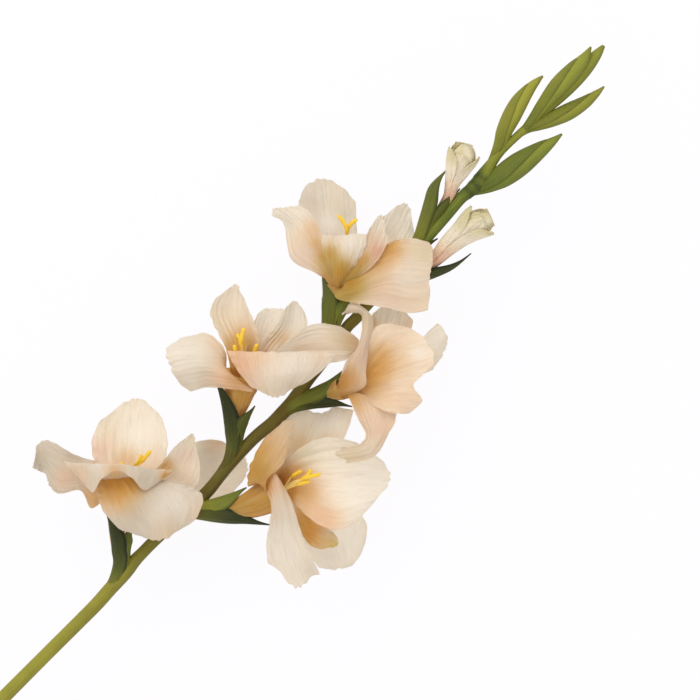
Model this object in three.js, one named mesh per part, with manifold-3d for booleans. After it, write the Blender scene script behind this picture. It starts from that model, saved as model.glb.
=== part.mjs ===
// A cut gladiolus laid on its side: one leafy stem, five open blooms with their stamens and two opening buds.
// Millimetres. The shapes are placed on a layout sheet seen from above: x right, y up, z away from the table.
// The sheet is then turned about Z so that the stem lies along +X, and centred.
import * as THREE from "three";
import Module from "manifold-3d";

const wasm = await Module();
wasm.setup();

// The sheet in the part's frame
const SHEET_TURN = THREE.MathUtils.degToRad(-47.3);
const SHEET_MIDDLE = [151.079, -6.3745];
const SHEET_DROP = 0.232;

// Thicknesses and gaps
const TEPAL_THICK = 0.8;
const BRACT_THICK = 1.0;
const FUNNEL_WALL = 1.0;
const FUNNEL_FOOT = [2.3, 2.6]; // the funnel's radius at the seat, and its least a third of the way up
const FUNNEL_SHARE = [0.4, 0.76]; // of the ring's radius, a third and two thirds of the way up
const BORE_FOOT = 2.2; // the hollow's radius where it starts, and its share of the ring a little higher
const BORE_SHARE = 0.49;
const EDGE_WANDER = 0.012; // how far a tepal's edge wanders in and out, as a share of the tepal
const FURL_BLUNT = 0.2; // how wide a furled tepal still is at its end
const LEAST_ROLL = 0.6; // the least radius a blade is rolled to, at its tip
const BUD_FLAT = 0.8; // height of a bud as a share of its width
const SEAT_GAP = 0.55; // round the stem and its bracts, where a bloom is cut clear of them
const BUD_GAP = 0.75; // the same for an opening bud
const TABLE = 0.5; // where the middle of a blade comes to rest
const PRESS = 2.5; // how softly a blade is bent by the table

// Radii from the foot up
const COLUMN_RADIUS = [1.4, 1.8, 1.4]; // the stamens' column in the funnel
const THREAD_RADIUS = [0.7, 0.6, 0.5, 0.6, 1.1, 0.8]; // a stamen, with its anther near the end

// Fineness of the faceted solids
const SIMPLER = 0.25; // a facet edge nearer than this to flat is dropped
const TEPAL_SHARES = [0.13, 0.3, 0.44, 0.57, 0.69, 0.8, 0.91, 1]; // rows of facets, closer at the edge
const TEPAL_ACROSS = 6;
const BRACT_GRID = [6, 5];
const FURL_GRID = [5, 5];
const SHORT_EDGE = 0.2; // an edge left by a cut that is shorter than this is drawn to a point
const THIN_FACET = 0.004; // a facet lower than this is turned across its longest edge

// The stem: x y z and radius of its centre line, from the cut end to the tip
const STEM = [
  [-99.5, -101.5, 3.97, 3.75], [-66, -67.5, 11.1, 3.65], [-33, -34, 17.5, 3.55], [0, -0.5, 24, 3.5],
  [20, 19.6, 27.5, 3.4], [40, 39.5, 31, 3.4], [48, 47.6, 32.4, 3.45], [55, 55.5, 33.7, 3.5],
  [62.3, 63.3, 35, 3.45], [67.3, 69.6, 35.8, 3.2], [70.9, 73.3, 36.3, 3], [76.5, 79, 37, 3],
  [88, 89.8, 38.3, 3], [97, 97.5, 39.2, 3.2], [104.5, 105.1, 40, 3.1], [110, 112, 40.5, 3],
  [116, 119.3, 41, 3.1], [125, 128.9, 41.5, 3.1], [130, 133.5, 41.8, 3.2], [136, 138.2, 42, 3.4],
  [141, 143.3, 42, 3.5], [146.5, 149.3, 42, 3.6], [153.5, 159.5, 42, 3.2], [160, 167.5, 42, 3],
  [166.5, 176.5, 42, 3], [173.5, 186.4, 42, 2.9], [178, 190.9, 42.3, 2.9], [183, 197, 42.8, 2.85],
  [196, 211, 44, 2.85], [209, 226, 45, 2.9], [222.5, 241.6, 46, 2.95], [230, 250.4, 46.5, 2.95],
  [234, 253.8, 46.7, 3.2], [238.5, 257.6, 47, 3.9], [242, 262.7, 47.4, 3.5], [246.5, 269.3, 48, 2.5],
  [251, 275, 48.5, 2.2], [258, 281.5, 49, 2], [262, 285, 49.3, 2.1], [268, 290.5, 49.8, 1.6],
];

// Bracts: a blade rolled round a path of x y z radius. Facing 0 is the path's right side seen from above,
// 90 is up.
const BRACTS = {
  bract_1_left: {
    path: [
      [51, 51, 33, 2], [57, 59, 34.4, 3], [60.2, 68, 36.4, 3.8], [60.3, 75, 38.2, 4.6],
      [60.6, 81, 40, 5.2], [58.6, 88, 41.6, 4.4], [53.2, 96, 44, 0.6],
    ],
    facing: 145, spread: 116,
  },
  bract_1_right: {
    path: [
      [51, 50.8, 33, 1.9], [57.2, 59, 34.3, 2.8], [60.4, 68, 36.3, 3.6], [60.5, 75, 38.1, 4.3],
      [60.9, 81, 39.8, 5.1], [64, 88, 41.3, 1.4],
    ],
    facing: 35, spread: 112,
  },
  bract_2_left: {
    path: [
      [91, 93, 38.5, 2], [99, 94.2, 39.8, 3.9], [107, 94, 41.5, 4.9], [114, 93.5, 43, 5.1],
      [122, 92.6, 45, 4.4], [135.5, 88.2, 48, 0.6],
    ],
    facing: 25, spread: 114,
  },
  bract_2_right: {
    path: [
      [91, 93.3, 38.5, 1.9], [99, 94.8, 39.8, 3.7], [106, 95.5, 41.5, 4.6], [112, 97, 43, 4.8],
      [118, 100.5, 45, 3.6], [123.8, 106, 47, 0.6],
    ],
    facing: 145, spread: 108,
  },
  bract_3_left: {
    path: [
      [109, 111.5, 40.4, 1.9], [114.5, 119.5, 41.4, 2.8], [117, 127.8, 42.6, 3.7],
      [117.2, 134, 43.5, 4.5], [117.3, 140, 44.8, 5.2], [115.5, 148, 47, 4.5], [112, 156, 50.5, 2.8],
      [107.3, 163.5, 54, 0.5],
    ],
    facing: 148, spread: 114,
  },
  bract_3_right: {
    path: [
      [109, 111.3, 40.4, 1.8], [114.6, 119.3, 41.3, 2.7], [117.1, 127.8, 42.5, 3.5],
      [117.7, 134, 43.4, 4.4], [119, 140, 44.8, 5.1], [122, 143.8, 46.5, 4], [127.3, 147.6, 48, 0.6],
    ],
    facing: 30, spread: 110,
  },
  bract_4_left: {
    path: [
      [136, 138.5, 42, 2], [145, 146.6, 42.3, 3.3], [154, 150.2, 43.2, 4.2], [161, 152.6, 45, 4.9],
      [167, 157, 47.5, 3.8], [173.8, 165.8, 50, 0.5],
    ],
    facing: 145, spread: 112,
  },
  bract_4_right: {
    path: [
      [136, 138.3, 42, 1.9], [145, 146.3, 42.3, 3.1], [155, 149.7, 43.2, 4.1], [163, 151, 45, 4.6],
      [170, 150.2, 47.5, 3.3], [176.3, 147.2, 49, 0.5],
    ],
    facing: 25, spread: 112,
  },
  bract_5_left: {
    path: [
      [161, 169, 42, 1.9], [164.6, 179.5, 42.7, 3.3], [165.4, 188.5, 43.6, 4.4],
      [166.6, 196, 44.6, 5.6], [166.8, 203, 46, 5.6], [161.6, 213.6, 48, 0.6],
    ],
    facing: 145, spread: 114,
  },
  bract_5_right: {
    path: [
      [161, 168.8, 42, 1.8], [164.8, 179.3, 42.6, 3.1], [166, 188.5, 43.5, 4.2], [168, 195, 44.5, 5.2],
      [170.5, 200, 46, 5.2], [176.5, 205, 47.5, 0.8],
    ],
    facing: 30, spread: 112,
  },
  bract_a_left: {
    path: [
      [203, 219, 44.6, 1.9], [209.8, 230.4, 45.5, 3.2], [213.6, 240, 46.2, 3.9], [217, 248, 47, 5],
      [219.4, 255.3, 48, 4.7], [223.6, 264.6, 49, 0.5],
    ],
    facing: 150, spread: 112,
  },
  bract_a_right: {
    path: [
      [203, 218.8, 44.6, 1.8], [210.3, 230.2, 45.4, 2.9], [214.2, 239, 46, 3.4],
      [218.5, 246, 46.8, 4.2], [222.6, 250.8, 47.6, 3.2], [229.7, 256, 48.6, 0.5],
    ],
    facing: 25, spread: 106,
  },
  bract_b_right: {
    path: [
      [192, 206.5, 43.4, 1.9], [203, 211.8, 44.3, 3.6], [211, 213.8, 45, 4.4], [218, 216.6, 46, 4.7],
      [225.5, 219.2, 47, 3.6], [235.3, 223.7, 48, 0.5],
    ],
    facing: 10, spread: 104,
  },
  bract_b_left: {
    path: [
      [196, 209.8, 43.8, 1.8], [207.5, 218.5, 45, 3.2], [213, 224.5, 46, 3], [219.2, 230.4, 47, 0.5],
    ],
    facing: 150, spread: 98,
  },
};

// Closed green buds: x y z and half width, each with a bract folded over its lower part
const GREEN_BUDS = {
  green_bud_1: [
    [236.5, 254.5, 46.9, 2.4], [241, 256, 47.2, 3.2], [245.5, 258.2, 47.7, 4.3],
    [251.5, 262, 48.5, 5.8], [260, 268, 49.5, 6], [269.8, 274.8, 50, 4.1], [276, 279, 49.8, 2.2],
    [280.8, 282.8, 49.5, 0.5],
  ],
  green_bud_2: [
    [243.5, 265.5, 47.6, 1.4], [247, 271.6, 48, 2.2], [250.2, 278, 49, 3.4], [252, 284, 50, 4],
    [255.6, 291.5, 51, 4.6], [259.5, 298.5, 52, 4.3], [264.2, 304.8, 52, 3], [268, 308.8, 51, 1.8],
    [271.2, 311.7, 50, 0.5],
  ],
  green_bud_3: [
    [257, 280.6, 48.9, 1.2], [263.5, 285, 49.1, 1.9], [269, 287.4, 49.3, 2.9], [276, 290.2, 49.5, 3.8],
    [284.2, 294, 49.5, 4.2], [292.2, 298.6, 49, 3.2], [298, 303, 48.3, 1.8], [302, 306.6, 47.5, 0.4],
  ],
  green_bud_4: [
    [257, 279.8, 49, 1.2], [262.5, 285.5, 49.8, 1.9], [267, 291, 50.6, 2.7], [272, 297.8, 52, 3.6],
    [279, 306.3, 53.5, 4.8], [286, 313.8, 54.5, 4.4], [291.5, 320, 54.5, 2.8], [295, 326, 54, 0.5],
  ],
  green_bud_5: [
    [259, 282, 49, 1.2], [265, 287.5, 49.5, 1.8], [272, 294.8, 50, 2.9], [280, 303, 50.5, 4],
    [287, 310, 51, 4.2], [293, 316.5, 51, 3.8], [298, 322.3, 50.5, 2.6], [301.6, 326.8, 50, 0.9],
  ],
};

// Blooms, from the lowest up the stem. A tepal is a sheet through hand-placed sections, each running from one
// edge to the other, x y z for each point; ruffle is the height of its waved edge and waves their number.
const BLOOMS = {
  bloom_1: {
    throat: [62, 107, 46], axis: [0.1, 0.8, 0.6], ring: 8,
    tube: [[60, 66, 36], [58, 80, 36], [59.5, 94, 39]],
    tepals: [
      {
        rows: [
          [50, 114, 48, 64, 117, 38, 79, 114, 48],
          [44.5, 130, 40, 65, 133, 22, 85, 130, 40],
          [45, 147, 20, 66, 151, -9, 83, 150, 18],
        ],
        ruffle: 0.5, phase: 0.4,
      },
      {
        rows: [
          [50, 118, 44, 48, 110, 50, 46, 96, 47],
          [41, 121.5, 44, 40, 114, 53, 40.5, 105, 49],
          [32, 125.5, 44, 30, 116, 53, 29, 103.5, 48],
          [21, 129.5, 44, 20, 123, 50, 24, 110, 44],
          [16, 125, 38, 17, 116, 40, 23, 110, 36],
        ],
        ruffle: 0.8, phase: 1, waves: 4, round: 0.75,
      },
      {
        rows: [
          [
            33, 119.5, 61, 40, 119, 65, 47, 118.7, 68.5, 54, 118.4, 71, 60.5, 118.3, 72, 67,
            117.4, 70.5, 74, 116.6, 67.5, 80.5, 115.9, 63.5, 87, 115, 59,
          ],
          [
            34, 113, 60, 41, 107.5, 65, 47.5, 102.5, 70, 52.5, 111, 73, 60.5, 115, 74, 67, 111,
            73, 73, 103.5, 70, 79.5, 107, 65, 87, 112, 58,
          ],
        ],
        ruffle: 0.4, phase: 1.6, claw: 45, corner: 0.6,
      },
      {
        rows: [
          [50, 110, 54, 60, 114, 60, 74, 111, 57],
          [49, 105, 60, 69, 104, 68, 92, 108, 60],
          [52, 93, 60, 76, 92, 70, 105, 101, 56],
          [58, 78, 56, 79, 80.5, 64, 103, 82, 55],
        ],
        ruffle: 0.8, phase: 0.3, round: 0.6,
      },
      {
        rows: [
          [80, 117, 50, 84, 111, 48, 86, 106, 52],
          [86.5, 127, 51, 91, 118, 50, 99.5, 107, 52],
          [90.5, 132.5, 50, 97.5, 133, 49, 102, 121, 48],
        ],
        ruffle: 0.7, phase: 2, waves: 4,
      },
      {
        rows: [
          [84, 120, 38, 86, 110, 32, 86, 101, 34],
          [102, 131, 28, 104, 114, 18, 104, 97, 22],
          [117, 134, 12, 124, 116, -9, 125, 98, 8],
        ],
        ruffle: 0.7, phase: 0.9, waves: 4,
      },
    ],
  },
  bloom_2: {
    throat: [138, 104, 52], axis: [0.75, 0.25, 0.6], ring: 9,
    tube: [[99, 96, 40], [113, 94.5, 43], [126, 98, 47]],
    tepals: [
      {
        rows: [
          [146, 123, 57, 147, 117.5, 55, 150, 111, 54, 150, 104, 57, 149, 97, 61],
          [163.5, 132.5, 60, 168, 122.5, 57, 172, 111, 57, 170, 98, 60, 166, 84.5, 63],
          [184.5, 131, 57, 194.5, 121, 53, 195.5, 111, 54, 192, 100, 54, 183, 86.5, 52],
        ],
        ruffle: 0.8, phase: 0.5, waves: 4, corner: 0.6,
      },
      {
        rows: [
          [140, 124, 50, 145, 122.5, 47.5, 150, 122, 46, 154, 121.5, 47.5, 158, 122, 50],
          [139, 136, 44, 147.5, 135, 41, 156, 134, 38, 164, 132.5, 41, 172, 131, 44],
          [142, 142, 40, 150, 145.5, 38, 160.5, 144, 36, 168.5, 148.5, 38, 178, 146, 37],
        ],
        ruffle: 1, phase: 1.9, waves: 4, corner: 0.2,
      },
      {
        rows: [
          [124, 107, 54, 127, 111, 62, 134, 111, 64],
          [126.5, 121, 54, 134, 124, 62, 143, 119, 64],
          [136, 140, 50, 147, 141, 56, 148, 130, 60],
        ],
        ruffle: 0.6, phase: 0.2,
      },
      {
        rows: [
          [132, 106, 57, 137, 114, 62, 141, 109, 62],
          [136.5, 97, 66, 141, 98, 71, 147, 97, 67],
          [133.5, 80, 64, 143, 80, 69, 153, 79, 66],
          [132.5, 66, 55, 149.5, 56.5, 61, 163.5, 60, 59],
        ],
        ruffle: 0.5, phase: 1.1, round: 0.7, corner: 0.35,
      },
      {
        rows: [
          [162, 96, 46, 152, 88, 40, 144, 84, 44],
          [184, 90, 30, 168, 78, 22, 154, 70, 28],
          [185, 67, 8, 173, 62.5, -9, 156, 60, 8],
        ],
        ruffle: 0.7, phase: 2.7,
      },
      {
        rows: [
          [151, 96, 61, 152, 91, 56, 150, 86, 53],
          [161, 88, 62, 160, 84, 55, 155, 77, 52],
          [173, 84, 58, 169, 78, 60, 161, 72, 58],
        ],
        ruffle: 0.4, phase: 0.4, claw: 25,
      },
    ],
  },
  bloom_3: {
    throat: [122, 163, 47], axis: [0.1, 0.88, 0.46], ring: 9,
    tube: [[117, 123, 42], [116.5, 138, 42], [119, 151, 44]],
    tepals: [
      {
        rows: [
          [112.5, 177, 47, 120, 180, 40, 130, 178, 46],
          [104.5, 194, 42, 115, 194, 33, 126, 193, 40],
          [107, 207, 36, 117.5, 208.5, 26, 122, 205, 34],
        ],
        ruffle: 0.3, phase: 0.4,
      },
      {
        rows: [
          [124, 178, 42, 130, 180, 36, 136, 178, 40],
          [126, 189, 36, 134, 190, 28, 142, 188, 34],
          [127, 197, 28, 136.5, 196.5, 20, 148, 197, 28],
        ],
        ruffle: 0.5, phase: 2.4, waves: 5,
      },
      {
        rows: [
          [130, 177, 46, 138, 176, 44, 151, 175, 48],
          [138, 188, 42, 146, 187, 37, 154.5, 184, 43],
          [140, 201, 34, 147.5, 200, 30, 155, 198, 36],
        ],
        ruffle: 0.4, phase: 0.8,
      },
      {
        rows: [
          [148, 183, 50, 146, 176, 50, 148, 170, 50],
          [161, 189, 53, 164, 179, 55, 164, 168, 53],
          [179, 188, 50, 181, 177, 51, 179, 167, 50],
        ],
        ruffle: 0.6, phase: 1.3,
      },
      {
        rows: [
          [114, 174, 54, 139, 174, 63, 163.5, 174.5, 58],
          [118.5, 164, 60, 140, 163, 72, 166, 168, 60],
          [123, 151, 60, 138, 151.5, 68, 153, 155.5, 58],
        ],
        ruffle: 0.6, phase: 0.3, claw: 45,
      },
      {
        rows: [
          [112, 174, 48, 111.5, 170.5, 51.5, 112, 167, 55, 118.5, 160.5, 57, 126.5, 154.5, 57],
          [104, 184, 47, 101.5, 178, 52, 100, 171, 55, 102.5, 163, 54, 107, 156.5, 51],
          [85, 181.5, 42, 83, 176.5, 48, 83.5, 169, 52, 86, 159, 48, 94, 151.5, 44],
        ],
        ruffle: 1.1, phase: 2.2, waves: 4, corner: 0.35,
      },
    ],
  },
  bloom_4: {
    throat: [170.5, 155.5, 49.5], axis: [0.85, 0.12, 0.5], ring: 5,
    tube: [[149, 149.3, 42], [157, 151.2, 44], [164.5, 153.4, 47]],
    tepals: [
      {
        rows: [
          [
            180, 170, 57, 180.6, 165.5, 55, 181.3, 161, 53.5, 182, 157, 53, 182, 154.5, 54,
            182.3, 152, 56, 183, 149, 59,
          ],
          [
            188, 186.5, 60, 194, 180, 58.5, 198, 173, 57.5, 199, 163, 56, 198.5, 157.5, 58.5,
            198, 152, 62, 196, 143.5, 65,
          ],
          [
            198, 189.5, 53, 208, 186, 54.5, 215.5, 178.5, 56, 217, 169, 59, 207.5, 158, 60, 213,
            149, 58.5, 204, 143, 56,
          ],
        ],
        ruffle: 0.6, phase: 0.6, waves: 5, corner: 0.2,
      },
      {
        rows: [
          [173, 167.5, 56, 181, 169, 53, 191, 168, 47],
          [184.5, 182, 50, 192, 184, 42, 204, 180, 38],
          [178.5, 195, 34, 196, 198.5, 32, 214, 195, 33],
        ],
        ruffle: 0.7, phase: 1.9, waves: 4,
      },
      {
        rows: [
          [168.5, 156.5, 53, 175, 155.5, 57.5, 182, 156.5, 58.5],
          [173, 168.5, 54, 178.5, 167.5, 59.5, 183, 165, 60],
          [179, 177.5, 57, 182, 177, 62, 184.5, 178, 60],
          [181, 191, 56, 183.5, 192, 60, 186, 191, 56],
          [177, 193.5, 56, 176, 196, 58, 176, 198.5, 54],
          [172, 192, 52, 171, 193, 54, 170.5, 189, 52],
        ],
        ruffle: 0.2, phase: 0.2, round: 0.8, corner: 0.6,
      },
      {
        rows: [
          [172.5, 154.5, 53, 182, 152.5, 57, 195.5, 149, 54],
          [179.5, 140, 60, 187, 139, 65, 197.5, 140, 61],
          [183, 132.5, 66, 188, 131.5, 70, 194, 133.5, 67],
          [179, 128, 69, 182.5, 125, 71, 187, 122.5, 69.5],
          [168, 127, 68.5, 167.5, 123, 70, 170, 117.5, 68.5],
        ],
        ruffle: 0.3, phase: 1.1, round: 0.8, corner: 0.35,
      },
      {
        rows: [
          [188, 165, 42, 190, 158, 40, 190, 152, 42],
          [205, 176, 26, 206, 168, 20, 206, 160, 26],
          [221.5, 190.5, 10, 226, 178, -8, 217.5, 165, 8],
        ],
        ruffle: 0.3, phase: 2.7, corner: 0.1,
      },
      {
        rows: [
          [184, 162, 40, 186, 154, 36, 184, 146, 40],
          [194, 164, 26, 198, 154, 20, 194, 146, 26],
          [202, 164, 12, 208, 154, 3, 202, 146, 12],
        ],
        ruffle: 0.6, phase: 0.4,
      },
    ],
  },
  bloom_5: {
    throat: [168.6, 207.5, 48], axis: [0.1, 0.9, 0.42], ring: 4.6,
    tube: [[165.2, 182, 43], [165.6, 190, 44], [167, 198, 45.8]],
    tepals: [
      {
        rows: [
          [157, 222, 43, 162, 223.5, 40, 167, 224, 38, 172, 223.5, 40, 177, 222, 43],
          [150.5, 240, 32, 157, 241, 27, 164, 240, 24, 171, 239.5, 27, 178.5, 238, 32],
          [147.5, 252.5, 11, 152, 260.5, 3, 161.5, 263, -9, 172, 260, 2, 179, 252, 10],
        ],
        ruffle: 0.5, phase: 0.6, waves: 4, round: 0.6, corner: 0.3,
      },
      {
        rows: [
          [157.5, 213.5, 52, 162, 215, 54.5, 167, 210, 56],
          [145.5, 220.5, 50, 153, 228, 54, 163, 227, 57],
          [142, 238, 46, 147, 240, 50, 157, 241, 53],
          [132, 243, 44, 138, 246.5, 46, 150, 249, 46],
        ],
        ruffle: 0.4, phase: 1.9, round: 0.75, corner: 0.6,
      },
      {
        rows: [
          [165, 212.5, 56, 169.5, 213, 59, 175, 213.5, 58],
          [160.5, 227, 60, 171, 224.5, 65, 184, 227, 62],
          [158, 239, 58, 170, 232, 63, 189.5, 241, 58],
        ],
        ruffle: 0.4, phase: 0.2,
      },
      {
        rows: [
          [171.5, 213, 56, 176, 212.5, 59, 180, 211.5, 60],
          [179.5, 226, 60, 184.5, 225, 62.5, 190, 220.5, 63.5],
          [186, 241.5, 57, 191, 242.5, 56, 200.5, 235, 58],
        ],
        ruffle: 0.4, phase: 1.1,
      },
      {
        rows: [
          [173.5, 209, 56, 173, 204, 59.5, 169.5, 200, 56],
          [191.5, 226, 58, 195, 213, 66, 191, 196.5, 60],
          [204, 231, 56, 206, 213, 64, 204, 192.5, 58],
          [221, 231, 54, 216, 213, 60, 217.5, 192.5, 54],
        ],
        ruffle: 0.6, phase: 2.7, round: 0.65, corner: 0.55,
      },
      {
        rows: [
          [178, 220, 44, 182, 218, 42, 186, 215, 44],
          [187, 234, 42, 194, 230, 38, 202, 223.5, 41],
          [191, 248, 37, 203.5, 249, 32, 214.5, 234, 35],
        ],
        ruffle: 0.4, phase: 0.4, corner: 0.7,
      },
    ],
  },
};

// Stamens and style: threads rising from a short column in the funnel, each with a thicker anther or lobe
const STAMENS = {
  bloom_1: [
    [[62.5, 110, 49], [66, 116, 53], [70, 119.5, 57], [71.3, 123, 58]],
    [[63, 109, 49], [67, 115, 54], [71, 119, 58], [76, 125, 60]],
    [[61.5, 109, 50], [61.5, 114, 54], [61.8, 119, 57]],
  ],
  bloom_2: [
    [[141, 105.5, 54], [147, 109.5, 60], [153, 112, 64], [156, 116, 66]],
    [[141, 105, 55], [148, 109, 61], [154.5, 112, 65], [160.5, 113.5, 66]],
    [[141, 104.5, 54], [147, 107.5, 60], [155, 110, 64]],
    [[141.5, 106, 53], [146, 112, 58], [151, 115, 61]],
  ],
  bloom_3: [
    [[121, 167, 48], [120.7, 174, 52], [120.3, 180, 55], [118.8, 183, 56]],
    [[121.6, 167, 49], [121.2, 174, 53], [121, 181, 56], [122.4, 186, 57]],
    [[120.4, 166, 49], [118.5, 172, 53], [117.4, 177.5, 55]],
    [[123, 166.5, 49], [126.5, 172, 53], [128.8, 178, 55]],
  ],
  bloom_4: [
    [[172.5, 156.2, 50.5], [174.5, 156.8, 51.2], [176.5, 157.6, 52]],
    [[172.5, 155.8, 50.5], [175, 156, 51.6], [177.4, 156.4, 52.6]],
    [[172.5, 155.4, 50.5], [174.5, 155, 51.2], [176.5, 154.6, 52]],
  ],
  bloom_5: [
    [[171, 215, 51], [172.2, 225, 55], [173.3, 235, 60], [169.3, 242, 63]],
    [[171.5, 215, 50], [172.8, 225, 54], [174, 235.5, 59], [178.5, 240, 62]],
    [[170, 215, 50], [168.5, 222, 53], [167, 228, 55]],
  ],
};

// Opening buds: furled tepals rolled round one path, one over the next
const OPENING_BUDS = {
  opening_bud_a: {
    path: [
      [220.5, 246, 47], [224.3, 252, 48.5], [226.3, 258.5, 50], [229, 265.5, 51.5], [231, 271.5, 53],
      [232.3, 277, 54.5],
    ],
    core: [1.6, 2, 3.2, 5, 6, 2.6],
    furls: [
      { radius: [1.9, 2.6, 3.7, 5.6, 6.8, 6.4], facing: 262, spread: 100, reach: 1 },
      { radius: [1.9, 2.6, 3.9, 6.6, 7.8, 7.4], facing: 165, spread: 70, reach: 0.93 },
      { radius: [1.9, 2.6, 3.7, 6.2, 8.4, 9.2], facing: 5, spread: 66, reach: 0.87 },
      { radius: [1.6, 2.4, 3.4, 5, 6.2, 5.6], facing: 112, spread: 84, reach: 0.88 },
    ],
  },
  opening_bud_b: {
    path: [
      [211.5, 214.5, 46], [218.3, 221, 49], [224, 227, 51], [230.5, 232.5, 53], [237.5, 237.5, 54.5],
      [245, 241, 55.5],
    ],
    core: [1.8, 2.6, 3.8, 5.2, 6.2, 2.8],
    furls: [
      { radius: [2.4, 3.6, 4.8, 5.8, 6.6, 6.8], facing: 268, spread: 100, reach: 1 },
      { radius: [2.4, 3.6, 5, 6.4, 9, 9.8], facing: 170, spread: 78, reach: 0.86 },
      { radius: [2.4, 3.6, 4.9, 6, 7.8, 8.6], facing: 5, spread: 78, reach: 0.96 },
      { radius: [2, 3.2, 4.4, 5.4, 6.8, 6.6], facing: 96, spread: 88, reach: 0.92 },
    ],
  },
};

const vec = (p) => new THREE.Vector3(p[0], p[1], p[2]);
const spot = (p) => new THREE.Vector3(p.x, p.y, p.z);
const clamp = (x, lo, hi) => Math.min(Math.max(x, lo), hi);
const ease = (x) => clamp(x, 0, 1) ** 2 * (3 - 2 * clamp(x, 0, 1));
const steps = (n, lo, hi) => Array.from({ length: n }, (_, i) => lo + ((hi - lo) * i) / (n - 1));

// The four Catmull-Rom weights at a share f of a span
function weights(f) {
  const a = -f + 2 * f ** 2 - f ** 3;
  const b = 2 - 5 * f ** 2 + 3 * f ** 3;
  const c = f + 4 * f ** 2 - 3 * f ** 3;
  const d = -(f ** 2) + f ** 3;
  return [a / 2, b / 2, c / 2, d / 2];
}

// A list of points lengthened by one at each end, in line with the last two
function lengthened(list) {
  const first = list[0].clone().multiplyScalar(2).sub(list[1]);
  const last = list.at(-1).clone().multiplyScalar(2).sub(list.at(-2));
  return [first, ...list, last];
}

// A smooth line through points, read at s in 0..1 of its length; a fourth number w is its radius there
function line(points) {
  const all = lengthened(points.map((p) => new THREE.Vector4(p[0], p[1], p[2], p[3] ?? 0)));
  const spans = points.length - 1;
  const at = (x) => {
    const i = Math.min(Math.floor(x), spans - 1);
    const w = weights(x - i);
    const p = new THREE.Vector4(0, 0, 0, 0);
    w.forEach((share, k) => p.addScaledVector(all[i + k], share));
    return p;
  };
  const fine = steps(30 * spans + 1, 0, spans).map(at);
  const run = [0];
  for (let i = 1; i < fine.length; i++) run.push(run[i - 1] + spot(fine[i]).distanceTo(spot(fine[i - 1])));
  return (s) => {
    const want = clamp(s, 0, 1) * run.at(-1);
    let i = 1;
    while (i < run.length - 1 && run[i] < want) i++;
    return fine[i - 1].clone().lerp(fine[i], (want - run[i - 1]) / (run[i] - run[i - 1]));
  };
}

// The place, side and top directions at a share of a line
function station(read, s) {
  const place = spot(read(s));
  const ahead = spot(read(s + 0.01)).sub(spot(read(s - 0.01))).normalize();
  const side = new THREE.Vector3().crossVectors(ahead, new THREE.Vector3(0, 0, 1)).normalize();
  const top = new THREE.Vector3().crossVectors(side, ahead);
  return { place, side, top };
}

// A manifold solid from points and triangles
function solidFrom(points, triangles) {
  const vertProperties = new Float32Array(points.flatMap((p) => [p.x, p.y, p.z]));
  const triVerts = new Uint32Array(triangles.flat());
  const made = new wasm.Manifold(new wasm.Mesh({ numProp: 3, vertProperties, triVerts }));
  if (made.volume() >= 0) return made;
  const turned = new Uint32Array(triangles.flatMap(([a, b, c]) => [a, c, b]));
  return new wasm.Manifold(new wasm.Mesh({ numProp: 3, vertProperties, triVerts: turned }));
}

// A closed tube: rings of points along a line, each ring closed, with a flat end at each end
function tubeSolid(rings) {
  const n = rings[0].length;
  const points = rings.flat();
  const triangles = [];
  for (let i = 0; i < rings.length - 1; i++) {
    for (let j = 0; j < n; j++) {
      const k = (j + 1) % n;
      triangles.push([i * n + j, (i + 1) * n + j, (i + 1) * n + k], [i * n + j, (i + 1) * n + k, i * n + k]);
    }
  }
  const last = (rings.length - 1) * n;
  for (let j = 1; j < n - 1; j++) {
    triangles.push([0, j, j + 1], [last, last + j + 1, last + j]);
  }
  return solidFrom(points, triangles);
}

function ringAt(read, s, radius, sides, flat = 1) {
  const { place, side, top } = station(read, s);
  return Array.from({ length: sides }, (_, j) => {
    const a = (2 * Math.PI * j) / sides;
    return place
      .clone()
      .addScaledVector(side, radius * Math.cos(a))
      .addScaledVector(top, radius * flat * Math.sin(a));
  });
}

// A path with a radius at each of its points
const withRadius = (path, radius) => path.map((p, i) => [p[0], p[1], p[2], radius[i]]);

// A round or flattened rod along a path of x y z radius; grow makes it larger all round
function rod(path, rings, sides, grow = 0, flat = 1) {
  const read = line(path);
  const all = steps(rings, 0, 1).map((s) => ringAt(read, s, Math.max(read(s).w, 0.3) + grow, sides, flat));
  const push = (ring, from, to) => {
    const step = spot(read(to)).sub(spot(read(from))).setLength(grow);
    ring.forEach((p) => p.add(step));
  };
  if (grow > 0) push(all[0], 0.02, 0);
  if (grow > 0) push(all.at(-1), 0.98, 1);
  return tubeSolid(all);
}

// A grid with one more row and column all round, a distance past its edges
function widened(grid, grow) {
  const past = (p, inner) => p.clone().add(p.clone().sub(inner).setLength(grow));
  const wide = grid.map((row) => [past(row[0], row[1]), ...row, past(row.at(-1), row.at(-2))]);
  const first = wide[0].map((p, j) => past(p, wide[1][j]));
  const last = wide.at(-1).map((p, j) => past(p, wide.at(-2)[j]));
  return [first, ...wide, last];
}

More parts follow.
